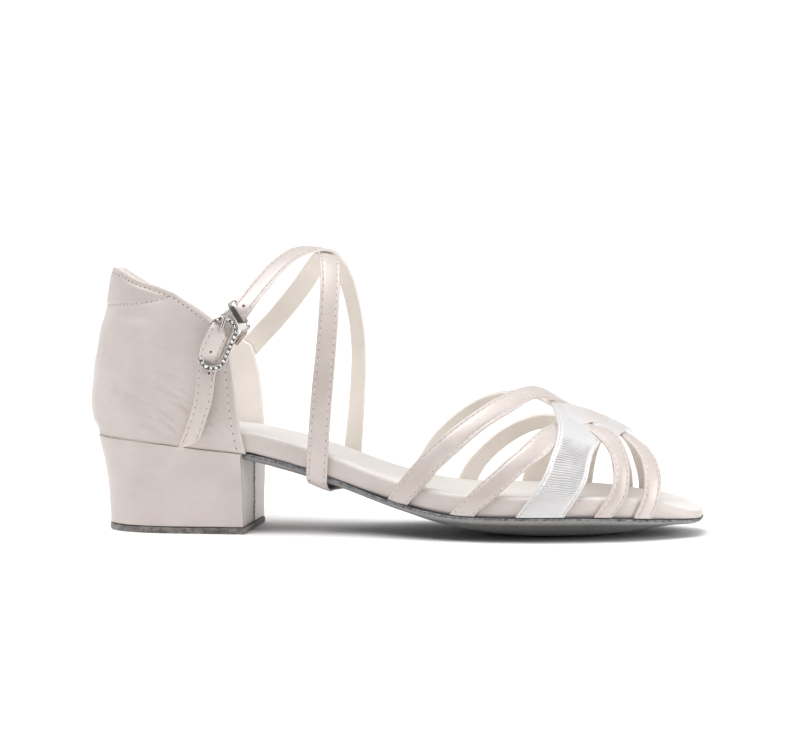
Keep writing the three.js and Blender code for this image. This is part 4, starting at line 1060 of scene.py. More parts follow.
toe_strap("strap_silver", SILVER_STRAP, SADDLE_T, [SILVER, LINING], 15, steps=SADDLE_STEPS, interior=19, relief=rib_relief, shade=rib_painted_shade, bits=vamp_bits, wave=0.06)
stand_for(vamp_bits.build("vamp_stitches", [THREAD, HOLE_SHADE, STRAP]), "strap_satin", "vamp_straps")


# ------------------------------------------------------------ instep strap
def ribbon_frames(rows, steps, skew=0.0):
    line = through(rows, steps)
    p = line[:, :3]
    t = unit(np.vstack([p[1:2] - p[:1], p[2:] - p[:-2], p[-1:] - p[-2:-1]]))
    n = line[:, 3:6]
    n = unit(n - np.sum(n * t, axis=1, keepdims=True) * t)
    return p, t, n, np.cross(t, n), line[:, 6]


def ribbon_piece(name, rows, thick, mats, seed, steps=8, interior=8, skew=0.0, margin=1.25, wave=0.08, relief=None, shade=None):
    p, t, n, b, w = ribbon_frames(rows, steps)
    last = len(p) - 1

    def frame_at(i):
        k = section(w[i], interior)
        cut = skew * smooth((i - (last - 6)) / 6.0)
        base = p[i] + b[i] * ((k * 2 - 1) * w[i] / 2)[:, None] - n[i] * thick / 2 - t[i] * ((k * 2 - 1) * w[i] / 2 * cut)[:, None]
        return k, w[i], base, np.repeat(n[i][None], len(k), 0)
    return strap_body(name, frame_at, range(len(p)), thick, mats, seed, interior, relief, margin, shade, wave), (p, t, n, b, w)


# the strap lies tilted in the buckle: over the rim on one side, inside it on the other
LYING = [
  # along, across, out, width, tilt
  [14.6, -2.5, -2.8, 7.4, 0.0],
  [12.0, -1.0, -2.5, 7.6, 0.0],
  [9.6, 0.2, -2.15, 7.8, 0.0],
  [7.5, 0.7, -1.95, 8.2, 0.04],
  [6.0, 1.1, -0.9, 8.6, 0.2],
  [4.6, 1.35, 0.5, 8.9, 0.34],
  [2.8, 1.5, 0.95, 9.0, 0.40],
  [0.0, 1.5, 1.05, 9.0, 0.42],
  [-2.8, 1.5, 0.95, 9.0, 0.40],
  [-5.2, 1.35, 0.55, 8.9, 0.34],
  [-7.0, 1.1, -0.7, 8.6, 0.2],
  [-8.8, 0.7, -1.95, 8.2, 0.04],
  [-10.8, 0.3, -2.15, 8.0, 0.0],
  [-13.0, 0.0, -1.7, 7.8, 0.0]]
long_rows = LONG_STRAP + [[*in_buckle(a, c, o), *unit(b_out - b_across * t), w] for a, c, o, w, t in LYING] + TAIL
LONG_STEPS = 9
# the instep strap carries the painted shade band on its upright outer side
(long_piece, long_lines), (lp, lt, ln, lb, lw) = ribbon_piece(
    "instep_strap_cover", long_rows, LONG_T, [STRAP, LINING], 21, LONG_STEPS, 8, TAIL_SKEW, shade=upright_painted_shade)
stand_for(long_piece, "strap_satin", "instep_strap")
long_bits = Bits()
for j in (0, 1):
    sew(long_bits, long_lines[j], long_lines[j + 2], 2.95, 2.0, 2.5)


def long_at(target):
    """Row of the instep strap nearest to a place given as x, z on the outer side."""
    lateral = lp[:, 1] < -12
    tail = np.arange(len(lp)) > len(lp) * 0.62
    d = np.hypot(lp[:, 0] - target[0], lp[:, 2] - target[1]) + np.where(lateral & tail, 0, 1e3)
    return int(np.argmin(d))


def top_of_strap(i):
    return lp[i] + ln[i] * (LONG_T / 2 + 0.10)


for x, z, shift, r in ((*in_buckle(4.9, 1.3, 0)[[0, 2]], -0.2, 0.62), (*in_buckle(-3.8, 1.3, 0)[[0, 2]], 0.0, 0.55),
                       (*in_buckle(-13.3, 0, 0)[[0, 2]], -1.4, 0.5), (*in_buckle(-0.2, 1.0, 0)[[0, 2]], -1.3, 0.26), (64.8, 92.0, 0.0, 0.6)):
    i = long_at((x, z))
    punched(long_bits, top_of_strap(i) + lb[i] * shift, ln[i], lt[i], r)
stand_for(long_bits.build("instep_stitches", [THREAD, HOLE_SHADE, STRAP]), "strap_satin", "instep_strap")

# the tail's cut end: two folded satin lips with the raw core between
_i = len(lp) - 1
_c = lp[_i]
_side = unit(lb[_i] - lt[_i] * TAIL_SKEW)
_half = lw[_i] / 2 * math.hypot(1, TAIL_SKEW)
end_bits = Bits()
for off, rad, mat in ((0.56, 0.50, 0), (-0.56, 0.50, 0), (0.0, 0.34, 1)):
    ks = np.linspace(-1, 1, 21)
    ang = np.arange(10) * math.pi / 5
    rings = []
    for q in ks:
        r = rad * math.sqrt(max(0.04, 1 - abs(q) ** 6))
        c = _c + _side * q * (_half - 0.15) + ln[_i] * off + lt[_i] * (0.16 if mat == 0 else 0.05)
        rings.append(c + r * (np.cos(ang)[:, None] * ln[_i] + np.sin(ang)[:, None] * lt[_i]))
    V = np.vstack(rings)
    F = ring_quads(21, 10).tolist() + [list(range(10))[::-1], list(range(200, 210))]
    end_bits.add(V, facing_out(V, F), mat)
stand_for(end_bits.build("tail_end", [STRAP, RAW]), "strap_satin", "instep_strap")


# ---------------------------------------------------------------- counter
# creases listed as x0, z0, x1, z1 on the side, depth and half width
CREASES_OUT = [
    (22.0, 46.5, 33.0, 36.6, 0.16, 1.5),
    (26.5, 45.0, 36.5, 37.0, 0.12, 1.2),
    (34.7, 54.6, 44.0, 44.5, 0.20, 1.1),
    (37.5, 53.5, 47.5, 42.5, 0.20, 1.0),
    (40.8, 50.5, 50.5, 40.5, 0.18, 1.0),
    (44.5, 50.0, 53.0, 40.0, 0.14, 0.9),
    (48.8, 47.0, 57.5, 38.6, 0.13, 0.9),
    (26.0, 53.5, 33.5, 48.5, 0.08, 0.7),
    (29.0, 51.0, 36.5, 46.0, 0.09, 0.7),
    (24.0, 49.5, 30.0, 45.0, 0.08, 0.7),
    (20.0, 45.5, 26.0, 42.0, 0.08, 0.8),
    (31.0, 46.0, 38.0, 40.5, 0.09, 0.7),
    (36.0, 60.0, 43.0, 56.5, 0.07, 0.9),
    (40.0, 43.5, 46.5, 38.5, 0.09, 0.7),
    (50.5, 53.0, 56.0, 48.5, 0.09, 0.8),
    (28.0, 66.0, 40.0, 63.0, 0.05, 1.1),
    (16.0, 57.0, 25.0, 53.0, 0.06, 1.0),
    (30.0, 60.5, 41.0, 52.0, 0.12, 1.6),
    (12.0, 88.0, 30.0, 84.0, 0.10, 2.4),
    (20.0, 80.0, 46.0, 74.0, 0.08, 3.0),
    (8.0, 62.0, 22.0, 50.0, 0.10, 2.6),
]
CREASES_IN = [
    (24.0, 47.0, 38.0, 37.5, 0.16, 1.5),
    (33.0, 52.0, 46.0, 41.0, 0.16, 1.3),
    (42.0, 50.0, 56.0, 40.0, 0.14, 1.2),
    (18.0, 80.0, 42.0, 72.0, 0.10, 2.6),
    (50.0, 64.0, 58.0, 56.0, 0.12, 1.4),
]
TAB_SEAM = [
    (-3.0, 90.8), (4.9, 91.0), (12.8, 92.0), (19.7, 92.6), (26.1, 93.6), (32.2, 95.2), (37.5, 97.0), (60.0, 104.0)]
TAB_SEAM_IN = [
    (-3.0, 90.8), (4.9, 91.0), (12.0, 91.8), (19.7, 92.8), (24.0, 94.2), (28.5, 95.6), (60.0, 104.0)]
tab_out, tab_in = column(TAB_SEAM, 1), column(TAB_SEAM_IN, 1)


def crease(x, z, table):
    out = np.zeros_like(x)
    for x0, z0, x1, z1, depth, half in table:
        dx, dz = x1 - x0, z1 - z0
        L = math.hypot(dx, dz)
        s = ((x - x0) * dx + (z - z0) * dz) / L
        bow = 0.09 * L * np.sin(np.clip(s / L, 0, 1) * math.pi)
        d = ((x - x0) * -dz + (z - z0) * dx) / L - bow
        ends = smooth((s + 1.5) / 4) * (1 - smooth((s - L + 2.5) / 4))
        out += ends * (-depth * np.exp(-(d / half) ** 2) + 0.55 * depth * np.exp(-((d - 1.9 * half) / (0.9 * half)) ** 2)
                       + 0.55 * depth * np.exp(-((d + 1.9 * half) / (0.9 * half)) ** 2))
    return out


def seam_rise(x):
    """The line between counter and heel block climbs a little at the back."""
    return 1.3 * (1 - smooth(x / 42.0)) - 0.35 * smooth((x - 45) / 18)


def counter_piece():
    near = np.array([0, 0.0003, 0.001, 0.0022, 0.0038, 0.0056, 0.0078, 0.0105, 0.0135, 0.0165, 0.0195, 0.0225, 0.026])
    us = np.concatenate([near, np.linspace(0.03, 0.97, 236), 1 - near[::-1]])
    n_out, n_arc, n_in = 96, 7, 40
    v_out = np.linspace(0, 1, n_out) ** 0.9
    v_in = np.linspace(1, 0, n_in)
    u = us[:, None]
    mm = np.minimum(u, 1 - u) * 2 * 69.0
    s = np.sqrt(np.maximum(0, 1 - (1 - np.clip(mm / (COUNTER_T / 2), 0, 1)) ** 2))
    half_t = COUNTER_T / 2
    A = cup(u, v_out[None], half_t * (1 - s))
    A[..., 2] += seam_rise(A[..., 0]) * (1 - smooth(v_out / 0.35))[None]
    out_dir = unit(cup(u, v_out[None], 0.0) - cup(u, v_out[None], COUNTER_T))
    drop = half_t * 0.55 * smooth((v_out - 0.95) / 0.05)[None]
    x, z = A[..., 0], A[..., 2]
    side = A[..., 1] < 0
    z_top = A[:, -1:, 2]
    seam_z = np.where(side, tab_out(x), tab_in(x))
    above = z - seam_z
    below_top = z_top - z
    puff = (0.34 * smooth(above / 1.6) - 0.22 * np.exp(-(above / 0.45) ** 2)) * smooth((below_top - 0.6) / 3.0)
    groove = -0.15 * np.exp(-((below_top - 2.0) / 0.38) ** 2)
    front_groove = np.where(mm > 0, -0.14 * np.exp(-((mm - 2.6) / 0.42) ** 2), 0)
    wav = 0.22 * undulate(A, 34.0, 5) + 0.05 * undulate(A, 9.0, 6)
    cr = np.where(side, crease(x, z, CREASES_OUT), crease(x, z, CREASES_IN))
    fade = smooth(mm / 3.0) * smooth(below_top / 2.0) * smooth(v_out[None] / 0.03)
    disp = (wav + 1.9 * cr) * fade + (puff + groove) * smooth(mm / 1.5) + front_groove
    A = A + out_dir * disp[..., None]
    A[..., 2] -= drop
    phi = np.linspace(0, math.pi, n_arc + 2)[1:-1]
    B = []
    end_o, end_i = A[:, -1], cup(u, np.array([[1.0]]), half_t * (1 + s))[:, 0]
    end_i[:, 2] -= half_t * 0.55
    for f in phi:
        c = (1 - math.cos(f)) / 2
        q = lerp(end_o, end_i, c)
        q[:, 2] += half_t * 0.55 * math.sin(f) * s[:, 0]
        B.append(q)
    B = np.stack(B, 1)
    C = cup(u, v_in[None], half_t * (1 + s))
    C[..., 2] -= half_t * 0.55 * smooth((v_in - 0.95) / 0.05)[None]
    P = np.concatenate([A, B, C], 1)
    idx = np.concatenate([np.zeros(n_out + n_arc // 2), np.ones(P.shape[1] - n_out - n_arc // 2)]).astype(int)
    shade = np.zeros(P.shape[:2])
    shade[:, :n_out] = np.clip(0.10 * smooth(above / 2.0) + 0.20 * np.exp(-(above / 0.3) ** 2) + 0.25 * (1 - smooth(v_out[None] / 0.02)), 0, 1)
    shade[:, :n_out] += 0.05 * smooth(0.5 + 0.5 * undulate(A, 25.0, 8))
    piece = lofted("counter_cover", P, [SATIN, CUP_LINING], idx, attrs={"tint_and_shade": shade})
    stand_for(piece, "satin", "counter")
    bits = Bits()
    N = out_dir

    def row_at(value, level, lo, hi):
        """Line on the outer face where value crosses level, for u from lo to hi."""
        pts, nor = [], []
        for i, uu in enumerate(us):
            if not lo <= uu <= hi:
                continue
            f = value[i]
            j = np.nonzero((f[:-1] - level) * (f[1:] - level) <= 0)[0]
            if len(j) == 0:
                continue
            j = j[-1]
            t = (level - f[j]) / (f[j + 1] - f[j] + 1e-9)
            pts.append(lerp(A[i, j], A[i, j + 1], t))
            nor.append(lerp(N[i, j], N[i, j + 1], t))
        return np.array(pts), np.array(nor)

    p, n = row_at(below_top, 2.0, 0.03, 0.97)
    sew(bits, p, n, 2.2, 0.5, 0.5, hole=0.48)
    lo = us[np.argmax((above[:, -1] > 2.4) & (us > 0.1))]
    hi = us[len(us) - 1 - np.argmax(((above[:, -1] > 2.4) & (us < 0.9))[::-1])]
    p, n = row_at(above, 0.0, lo, hi)
    sew(bits, p, n, 2.2, 0.3, 0.3, hole=0.48)
    for first in (True, False):
        i = int(np.argmin(np.abs(mm[:, 0] - 2.6) + (0 if first else 1e3) * (us < 0.5) + (1e3 if first else 0) * (us >= 0.5)))
        keep = (below_top[i] > 4.0) & (v_out > 0.02)
        sew(bits, A[i][keep], N[i][keep], 3.2, 0.5, 0.3, hole=0.50)
    stand_for(bits.build("counter_stitches", [THREAD, HOLE_SHADE, STRAP]), "satin", "counter")


counter_piece()


# ------------------------------------------------------------------- heel
def heel_outline(back, half, grow):
    """Section of the heel block: flat front with small round corners, rounded back."""
    pts = []
    front = lambda y: BREAST_X + BREAST_SLANT * y
    r = 0.9
    hw = half + grow
    ys = np.unique(np.concatenate([np.linspace(-hw + r, hw - r, 34), np.linspace(-0.6, 3.0, 25)]))
    # always the same number of points, whatever the width
    for a in np.linspace(0, math.pi / 2, 6)[:-1]:
        pts.append((front(-hw) + grow - r + r * math.sin(a), -hw + r - r * math.cos(a)))
    base = np.linspace(-1, 1, 33)
    fine = np.linspace(-0.05, 0.13, 27)
    for q in np.unique(np.concatenate([base, fine])):
        y = q * (hw - r)
        pts.append((front(y) + grow, y))
    for a in np.linspace(0, math.pi / 2, 6)[1:]:
        pts.append((front(hw) + grow - r + r * math.cos(a), hw - r + r * math.sin(a)))
    cap = 30
    xc = back + cap
    x0 = front(hw) + grow - r
    for i in range(1, 14):
        pts.append((lerp(x0, xc, i / 14), hw))
    e = 2 / 2.35
    for i in range(0, 73):
        a = math.pi / 2 * (1 - i / 36)
        pts.append((xc - (cap + grow) * abs(math.cos(a)) ** e, hw * np.sign(math.sin(a)) * abs(math.sin(a)) ** e))
    for i in range(13, 0, -1):
        pts.append((lerp(front(-hw) + grow - r, xc, i / 14), -hw))
    return np.array(pts)


def seam_y(z):
    return 1.4 + 0.012 * (z - 18) + 0.28 * np.sin(z * 1.9) + 0.16 * np.sin(z * 4.7 + 1.0) + 0.10 * np.sin(z * 9.1 + 2.0)


def heel_piece():
    rings, shade = [], []
    levels = np.concatenate([[0, 0.004, 0.011, 0.02], np.linspace(0.03, 0.97, 120), [0.98, 0.989, 0.996, 1]])
    for t in levels:
        zr = lerp(TIP_H + GAP, 37.3, t)
        edge = min(t, 1 - t) * 34.0
        inset = 0.55 * (1 - math.sqrt(max(0, 1 - (1 - min(1, edge / 0.6)) ** 2)))
        o = heel_outline(float(BLOCK_BACK(zr)), float(BLOCK_HALF(zr)), -inset)
        top = FEATHER(np.maximum(0, o[:, 0])) + seam_rise(o[:, 0]) - 0.16
        z = lerp(TIP_H + GAP, top, t)
        p = np.stack([o[:, 0], o[:, 1], z], -1)
        front = smooth((o[:, 0] - (BREAST_X + BREAST_SLANT * o[:, 1] - 0.5)) / 0.4)
        d = o[:, 1] - seam_y(z)
        lap = smooth(d / 0.5 + 0.5)
        p[:, 0] += front * (-0.38 + 0.38 * lap - 0.3 * np.exp(-((d + 0.25) / 0.22) ** 2) + 0.12 * np.exp(-((d - 0.5) / 0.4) ** 2))
        body = 1 - front
        cx = 31.0
        nx, ny = (o[:, 0] - cx) / 30.0, o[:, 1] / np.maximum(1, abs(o[:, 1]).max())
        dirn = unit(np.stack([np.where(o[:, 0] < cx, nx, 0), ny, 0 * nx], -1))
        w = (0.16 * undulate(p, 30.0, 31) + 0.035 * undulate(p, 8.0, 32)) * min(1, edge / 3)
        p += dirn * (w * body)[:, None]
        p[:, 0] += front * 0.10 * undulate(p, 7.0, 33) * min(1, edge / 2)
        rings.append(p)
        line = np.exp(-((d + 0.22) / (0.20 + 0.10 * np.sin(z * 3.1))) ** 2)
        # Painted shade: dark stripes of colour for the gathers near the top of the lapped side of the breast.
        gather_shade = 0.30 * np.exp(-((z - top + 3.5) / 3.0) ** 2) * (1 - lap) * (0.5 + 0.5 * np.sin(o[:, 1] * 2.3))
        s = front * (0.95 * line + 0.50 * (1 - lap) + gather_shade) + 0.10 * (1 - smooth(edge / 0.8))
        s = s + body * 0.045 * smooth(0.5 + 0.5 * undulate(p, 26.0, 34))
        corner = np.exp(-((np.abs(o[:, 1]) - float(BLOCK_HALF(zr)) + 0.8) / 0.35) ** 2) * smooth((o[:, 0] - 62.6) / 0.5)
        shade.append(np.clip(s + 0.22 * corner, 0, 1))
    P = np.array(rings)
    o = heel_outline(float(BLOCK_BACK(20.0)), float(BLOCK_HALF(20.0)), 0.0)
    # the breast face takes the lighter satin of painted light
    facing = (o[:, 0] > BREAST_X + BREAST_SLANT * o[:, 1] - 0.35).astype(int)
    piece = lofted("heel_cover", P, [SATIN, LIT_BREAST], facing, attrs={"tint_and_shade": np.array(shade)})
    stand_for(piece, "satin", "heel")


def tip_piece():
    rings = []
    for z, g in ((0, 0.0), (0.12, 0.14), (0.4, 0.24), (0.8, 0.28), (1.2, 0.30), (1.6, 0.32), (2.0, 0.30), (2.25, 0.22), (2.4, 0.05)):
        o = heel_outline(float(BLOCK_BACK(z)), float(BLOCK_HALF(z)), g)
        p = np.stack([o[:, 0], o[:, 1], np.full(len(o), z)], -1)
        rag = 0.10 * undulate(p, 1.9, 41, 2) + 0.08 * undulate(p, 6.0, 42, 2)
        c = p - [31, 0, z]
        p += unit(c) * (rag * smooth(z / 0.5) * smooth((2.4 - z) / 0.3 + 0.3))[:, None]
        p[:, 2] += 0.12 * undulate(p, 4.0, 43) * smooth((z - 1.2) / 1.0)
        p[:, 2] = np.clip(p[:, 2], 0, 2.6)
        rings.append(p)
    P = np.array(rings)
    stand_for(lofted("heel_tip_suede", P, [TIP_SUEDE], np.zeros(P.shape[1], int)), "suede", "heel_tip")


heel_piece()
tip_piece()


# ------------------------------------------------------------------ soles
def outline(grow, ring):
    def side(s):
        out = []
        n0, n1 = ring // 5, ring // 4
        for i in range(ring + 1):
            if i < n0:
                a = i / n0 * math.pi / 2
                x, k, spine = HEEL_START + HEEL_CAP * (1 - math.cos(a)), math.sin(a), HEEL_START + HEEL_CAP
            elif i > ring - n1:
                a = (i - (ring - n1)) / n1 * math.pi / 2
                q = math.sin(a) ** (2 / 2.4)
                x, spine = TOE_X - TOE_CAP * (1 - q), TOE_X - TOE_CAP
                k = 0.0 if i == ring else max(0.0, 1 - q ** 2.4) ** (1 / 4.4)
            else:
                x = lerp(HEEL_START + HEEL_CAP, TOE_X - TOE_CAP, (i - n0) / (ring - n0 - n1))
                k, spine = 1.0, x
            l, m = float(LAT(x)), float(MED(x))
            out.append((x, (l + m) / 2 + s * (m - l) / 2 * k, spine, (float(LAT(spine)) + float(MED(spine))) / 2))
        return out
    a, b = side(-1), side(1)
    r = np.array(a + b[1:ring][::-1])
    t = np.roll(r[:, :2], -1, 0) - np.roll(r[:, :2], 1, 0)
    nrm = unit(np.stack([t[:, 1], -t[:, 0]], -1))
    return r, nrm


def ledge(x):
    return LEDGE * smooth((x - 98) / 26) * (1 - 0.95 * smooth((x - 214) / 26))


def edge_z(x):
    return FEATHER(x) - GAP


def tread_z(x, f):
    return np.maximum(0, lerp(edge_z(x) - EDGE(x) * (0.6 + 0.4 * smooth(f / 0.06)), TREAD(x), 1 - (1 - f) ** 2.2))


def bed_z(x, f):
    t = lerp(WAIST_T, MID_T, smooth((x - 110) / 30))
    return tread_z(x, f) + t * smooth(f / 0.3) + (edge_z(x) - tread_z(x, 0)) * (1 - smooth(f / 0.3))


def plate(name, rings, mats, idx, attrs=None, cut=None):
    """Closed plate from rings round an outline; the first and last are closed across."""
    R, N = len(rings), len(rings[0])
    V = np.vstack(rings)
    Q = ring_quads(R, N)
    flip = signed(V, Q) < 0
    faces = (Q[:, ::-1] if flip else Q).tolist()
    ids = np.repeat(idx[:-1], N).tolist()
    for r, turn, m in ((0, True, idx[0]), (R - 1, False, idx[-1])):
        for k in range(N // 2):
            a, b, c, d = r * N + k, r * N + k + 1, r * N + (N - k) % N, r * N + N - k - 1
            f = [q for j, q in enumerate((a, b, d, c)) if q not in (a, b, d, c)[:j]]
            if len(f) < 3:
                continue
            if turn != flip:
                f = f[::-1]
            faces.append(f)
            ids.append(m)
    o = make_mesh(name, V, faces, mats, ids, attrs=attrs)
    bm = bmesh.new()
    bm.from_mesh(o.data)
    bmesh.ops.recalc_face_normals(bm, faces=bm.faces)
    bm.to_mesh(o.data)
    bm.free()
    return o


def outsole_piece():
    ring = 420
    r, nrm = outline(0, ring)
    x0, y0 = r[:, 0], r[:, 1]
    g = ledge(x0)
    rings, down, under_shadow = [], [], []

    def put(f, z, extra=0.0, dn=1.0, shadow_share=0.0, rag=0.0):
        ex, ey = x0 + nrm[:, 0] * (g + extra), y0 + nrm[:, 1] * (g + extra)
        x, y = lerp(ex, r[:, 2], f), lerp(ey, r[:, 3], f)
        p = np.stack([x, y, z(x, f)], -1)
        if rag:
            n3 = np.stack([nrm[:, 0], nrm[:, 1], 0 * nrm[:, 0]], -1)
            p = p + n3 * (rag * undulate(p, 2.1, 51, 2))[:, None]
            p[:, 2] += rag * 0.7 * undulate(p, 3.3, 52, 2)
        p[:, 2] = np.maximum(p[:, 2], 0)
        rings.append(p)
        down.append(np.full(len(p), dn))
        under_shadow.append(np.full(len(p), shadow_share) if np.isscalar(shadow_share) else shadow_share)
    for f in (0.97, 0.7, 0.45, 0.3, 0.2, 0.12, 0.07, 0.035):
        put(f, bed_z, dn=0.0)
    side = lambda q: (lambda x, f: lerp(edge_z(x), tread_z(x, 0), q))
    for q, ex, rg in ((0.0, -0.35, 0.08), (0.06, -0.05, 0.24), (0.18, 0.10, 0.30), (0.34, 0.16, 0.30), (0.52, 0.14, 0.22), (0.70, 0.02, 0.03), (0.86, -0.12, 0.02), (0.97, -0.38, 0.0)):
        put(0.0, side(q), ex, dn=q, rag=rg)
    for f in (0.012, 0.025, 0.04, 0.06, 0.085, 0.11, 0.14, 0.2, 0.28, 0.36, 0.45, 0.56, 0.7, 0.85, 0.97):
        # the underside's painted contact shadow, growing inward from the edge
        u = smooth((f - 0.006) / 0.075)
        put(f, tread_z, dn=1.0 + 4.0 * f, shadow_share=u)
    piece = plate("outsole_suede", rings, [EDGE_SUEDE], [0] * len(rings), attrs={"down": np.array(down), "under_shadow": np.array(under_shadow)})
    # the heel stands behind this cut
    bm = bmesh.new()
    bm.from_mesh(piece.data)
    co = Vector(place([BREAST_X + 0.5, 0, 20]))
    no = Vector((1, -BREAST_SLANT, 0)).normalized()
    res = bmesh.ops.bisect_plane(bm, geom=bm.verts[:] + bm.edges[:] + bm.faces[:], plane_co=co, plane_no=no, clear_inner=True)
    rim = [e for e in bm.edges if e.is_boundary]
    bmesh.ops.holes_fill(bm, edges=rim, sides=0)
    bm.to_mesh(piece.data)
    bm.free()
    stand_for(piece, "suede", "outsole")


def insole_piece():
    ring = 260
    r, nrm = outline(0, ring)
    reach = np.hypot(r[:, 0] - r[:, 2], r[:, 1] - r[:, 3])
    rings, idx, shade = [], [], []
    heel = lambda x: 1 - smooth((x - 60) / 18)
    base = lambda x, f: lerp(bed_z(x, f) + GAP, FEATHER(x) + GAP, heel(x)) + 0.12 + 0.12 * (1 - smooth((x - 85) / 20))
    dish = lambda x: 0.8 + 1.6 * smooth((x - 110) / 40)

    def roof(x, f, y):
        c = (y - r[:, 3]) / np.maximum(1, reach) * 1.0
        w = lerp(WALL_L(x), WALL_M(x), 0.5 + 0.5 * np.clip(c, -1, 1))
        toe = smooth((x - 228) / 17)
        return FEATHER(x) + w - dish(x) * smooth(f / 0.7) - 1.9 * toe * (1 - smooth(f * reach / 7.0)) ** 1.5

    n3 = np.stack([nrm[:, 0], nrm[:, 1], 0 * nrm[:, 0]], -1)

    def put(d, z, mat, share=None, out=0.0, s=0.0):
        f = np.minimum(0.97, d / reach) if share is None else np.full(len(r), share)
        x, y = lerp(r[:, 0], r[:, 2], f), lerp(r[:, 1], r[:, 3], f)
        p = np.stack([x, y, z(x, f, y)], -1)
        p = p + n3 * out[:, None] if not np.isscalar(out) else p + n3 * out
        rings.append(p)
        idx.append(mat)
        shade.append(s if not np.isscalar(s) else np.full(len(r), s))
    soft = lambda x, y: 0.07 * undulate(np.stack([x, y, 0 * x], -1), 22.0, 61)
    for share in (0.97, 0.86, 0.74, 0.62, 0.51, 0.41, 0.32, 0.25, 0.18):
        put(0, lambda x, f, y: roof(x, f, y) + soft(x, y), 1, share=share)
    for a in np.linspace(0, math.pi / 2, 9):
        put(FOLD_R * (1 - math.sin(a)) * 1.0 + 0.0, lambda x, f, y, a=a: roof(x, 0, y) - FOLD_R * (1 - math.cos(a)) * 0.92 - 0.06 + soft(x, y), 0 if a > 0.9 else 1)
    low = base(r[:, 0], 0 * r[:, 0])
    high = roof(r[:, 0], 0 * r[:, 0], r[:, 1]) - FOLD_R * 0.92 - 0.06
    for q in np.linspace(0.06, 1, 14):
        p0 = np.stack([r[:, 0], r[:, 1], lerp(high, low, q)], -1)
        bulge = 0.20 * math.sin(math.pi * q) + (0.13 * undulate(p0, 15.0, 62) + 0.05 * undulate(p0 * [1, 1, 0.5], 4.5, 63)) * math.sin(math.pi * min(1, q * 1.1)) - 0.25 * smooth((q - 0.85) / 0.15)
        put(0, lambda x, f, y, q=q: lerp(high, low, q), 0, out=bulge, s=0.12 * smooth((q - 0.8) / 0.2) + 0.0 * x0_like(r))
    for f in (0.1, 0.25, 0.45, 0.7, 0.97):
        put(0, lambda x, ff, y: base(x, ff), 0, share=f)
    piece = plate("insole_cover", rings, [INSOLE, SOCK], idx, attrs={"tint_and_shade": np.array(shade)})
    stand_for(piece, "insole_cream", "insole")


def x0_like(r):
    return np.zeros(len(r))


outsole_piece()
insole_piece()


# ----------------------------------------------------------------- buckle
def stadium(l, w, n):
    """Points round a stadium in its own plane, evenly spaced, with outward directions."""
    r, s = w / 2, l / 2 - w / 2
    per = 4 * s + 2 * math.pi * r
    out, nor = [], []
    for i in range(n):
        d = per * i / n
        if d < 2 * s:
            out.append((-s + d, -r)); nor.append((0, -1))
        elif d < 2 * s + math.pi * r:
            a = (d - 2 * s) / r - math.pi / 2
            out.append((s + r * math.cos(a), r * math.sin(a))); nor.append((math.cos(a), math.sin(a)))
        elif d < 4 * s + math.pi * r:
            out.append((s - (d - 2 * s - math.pi * r), r)); nor.append((0, 1))
        else:
            a = (d - 4 * s - math.pi * r) / r + math.pi / 2
            out.append((-s + r * math.cos(a), r * math.sin(a))); nor.append((math.cos(a), math.sin(a)))
    return np.array(out), np.array(nor)


def closed_sweep(bits, centre, nor, profile, to_space, mat_of):
    """Sweep a closed profile (radial, height) round a closed line."""
    n, m = len(centre), len(profile)
    V = []
    for c, d in zip(centre, nor):
        for q, h in profile:
            V.append(to_space(c[0] + d[0] * q, c[1] + d[1] * q, h))
    V = np.array(V)
    F, M = [], []
    for i in range(n):
        for j in range(m):
            a, b = i * m + j, i * m + (j + 1) % m
            c, d = ((i + 1) % n) * m + (j + 1) % m, ((i + 1) % n) * m + j
            F.append([a, b, c, d])
            M.append(mat_of(j))
    G = facing_out(V, F)
    for g, mt in zip(G, M):
        bits.f.append([q + bits.n for q in g])
        bits.m.append(mt)
    bits.v.append(V)
    bits.n += len(V)


def rod(bits, a, b, radius, mat, up=(0, -1, 0), sides=12, flat=1.0, taper=1.0, steps=8):
    a, b = np.asarray(a, float), np.asarray(b, float)
    d, u, s = basis(b - a, np.asarray(up, float))
    ang = np.arange(sides) * 2 * math.pi / sides
    rings = []
    for q, f in [(0, 0.35), (0.02, 0.75), (0.05, 0.95)] + [(t, 1.0) for t in np.linspace(0.1, 0.9, steps)] + [(0.95, 0.95), (0.98, 0.75), (1, 0.35)]:
        r = radius * f * lerp(1, taper, q)
        rings.append(a + (b - a) * q + r * (np.cos(ang)[:, None] * u * flat + np.sin(ang)[:, None] * s))
    V = np.vstack(rings)
    n = len(rings)
    F = ring_quads(n, sides).tolist() + [list(range(sides))[::-1], list(range((n - 1) * sides, n * sides))]
    bits.add(V, facing_out(V, F), mat)


def gem(bits, c, x, y, up, r, mat):
    V, F = [], []
    for i in range(8):
        a = (i + 0.5) * math.pi / 4
        V.append(c + (x * math.cos(a) + y * math.sin(a)) * r * 0.52 + up * r * 0.55)
    for i in range(16):
        a = i * math.pi / 8
        V.append(c + (x * math.cos(a) + y * math.sin(a)) * r + up * r * 0.12)
    V.append(c - up * r * 0.75)
    F.append(list(range(8)))
    for i in range(8):
        j = (i + 1) % 8
        g0, g1, g2 = 8 + (2 * i + 1) % 16, 8 + (2 * i + 2) % 16, 8 + (2 * i + 3) % 16
        F.append([i, g1, j])
        F.append([i, g0, g1])
        F.append([j, g1, g2])
    for i in range(16):
        F.append([8 + (i + 1) % 16, 8 + i, 24])
    V = np.array(V)
    bits.add(V, facing_out(V, F), mat)


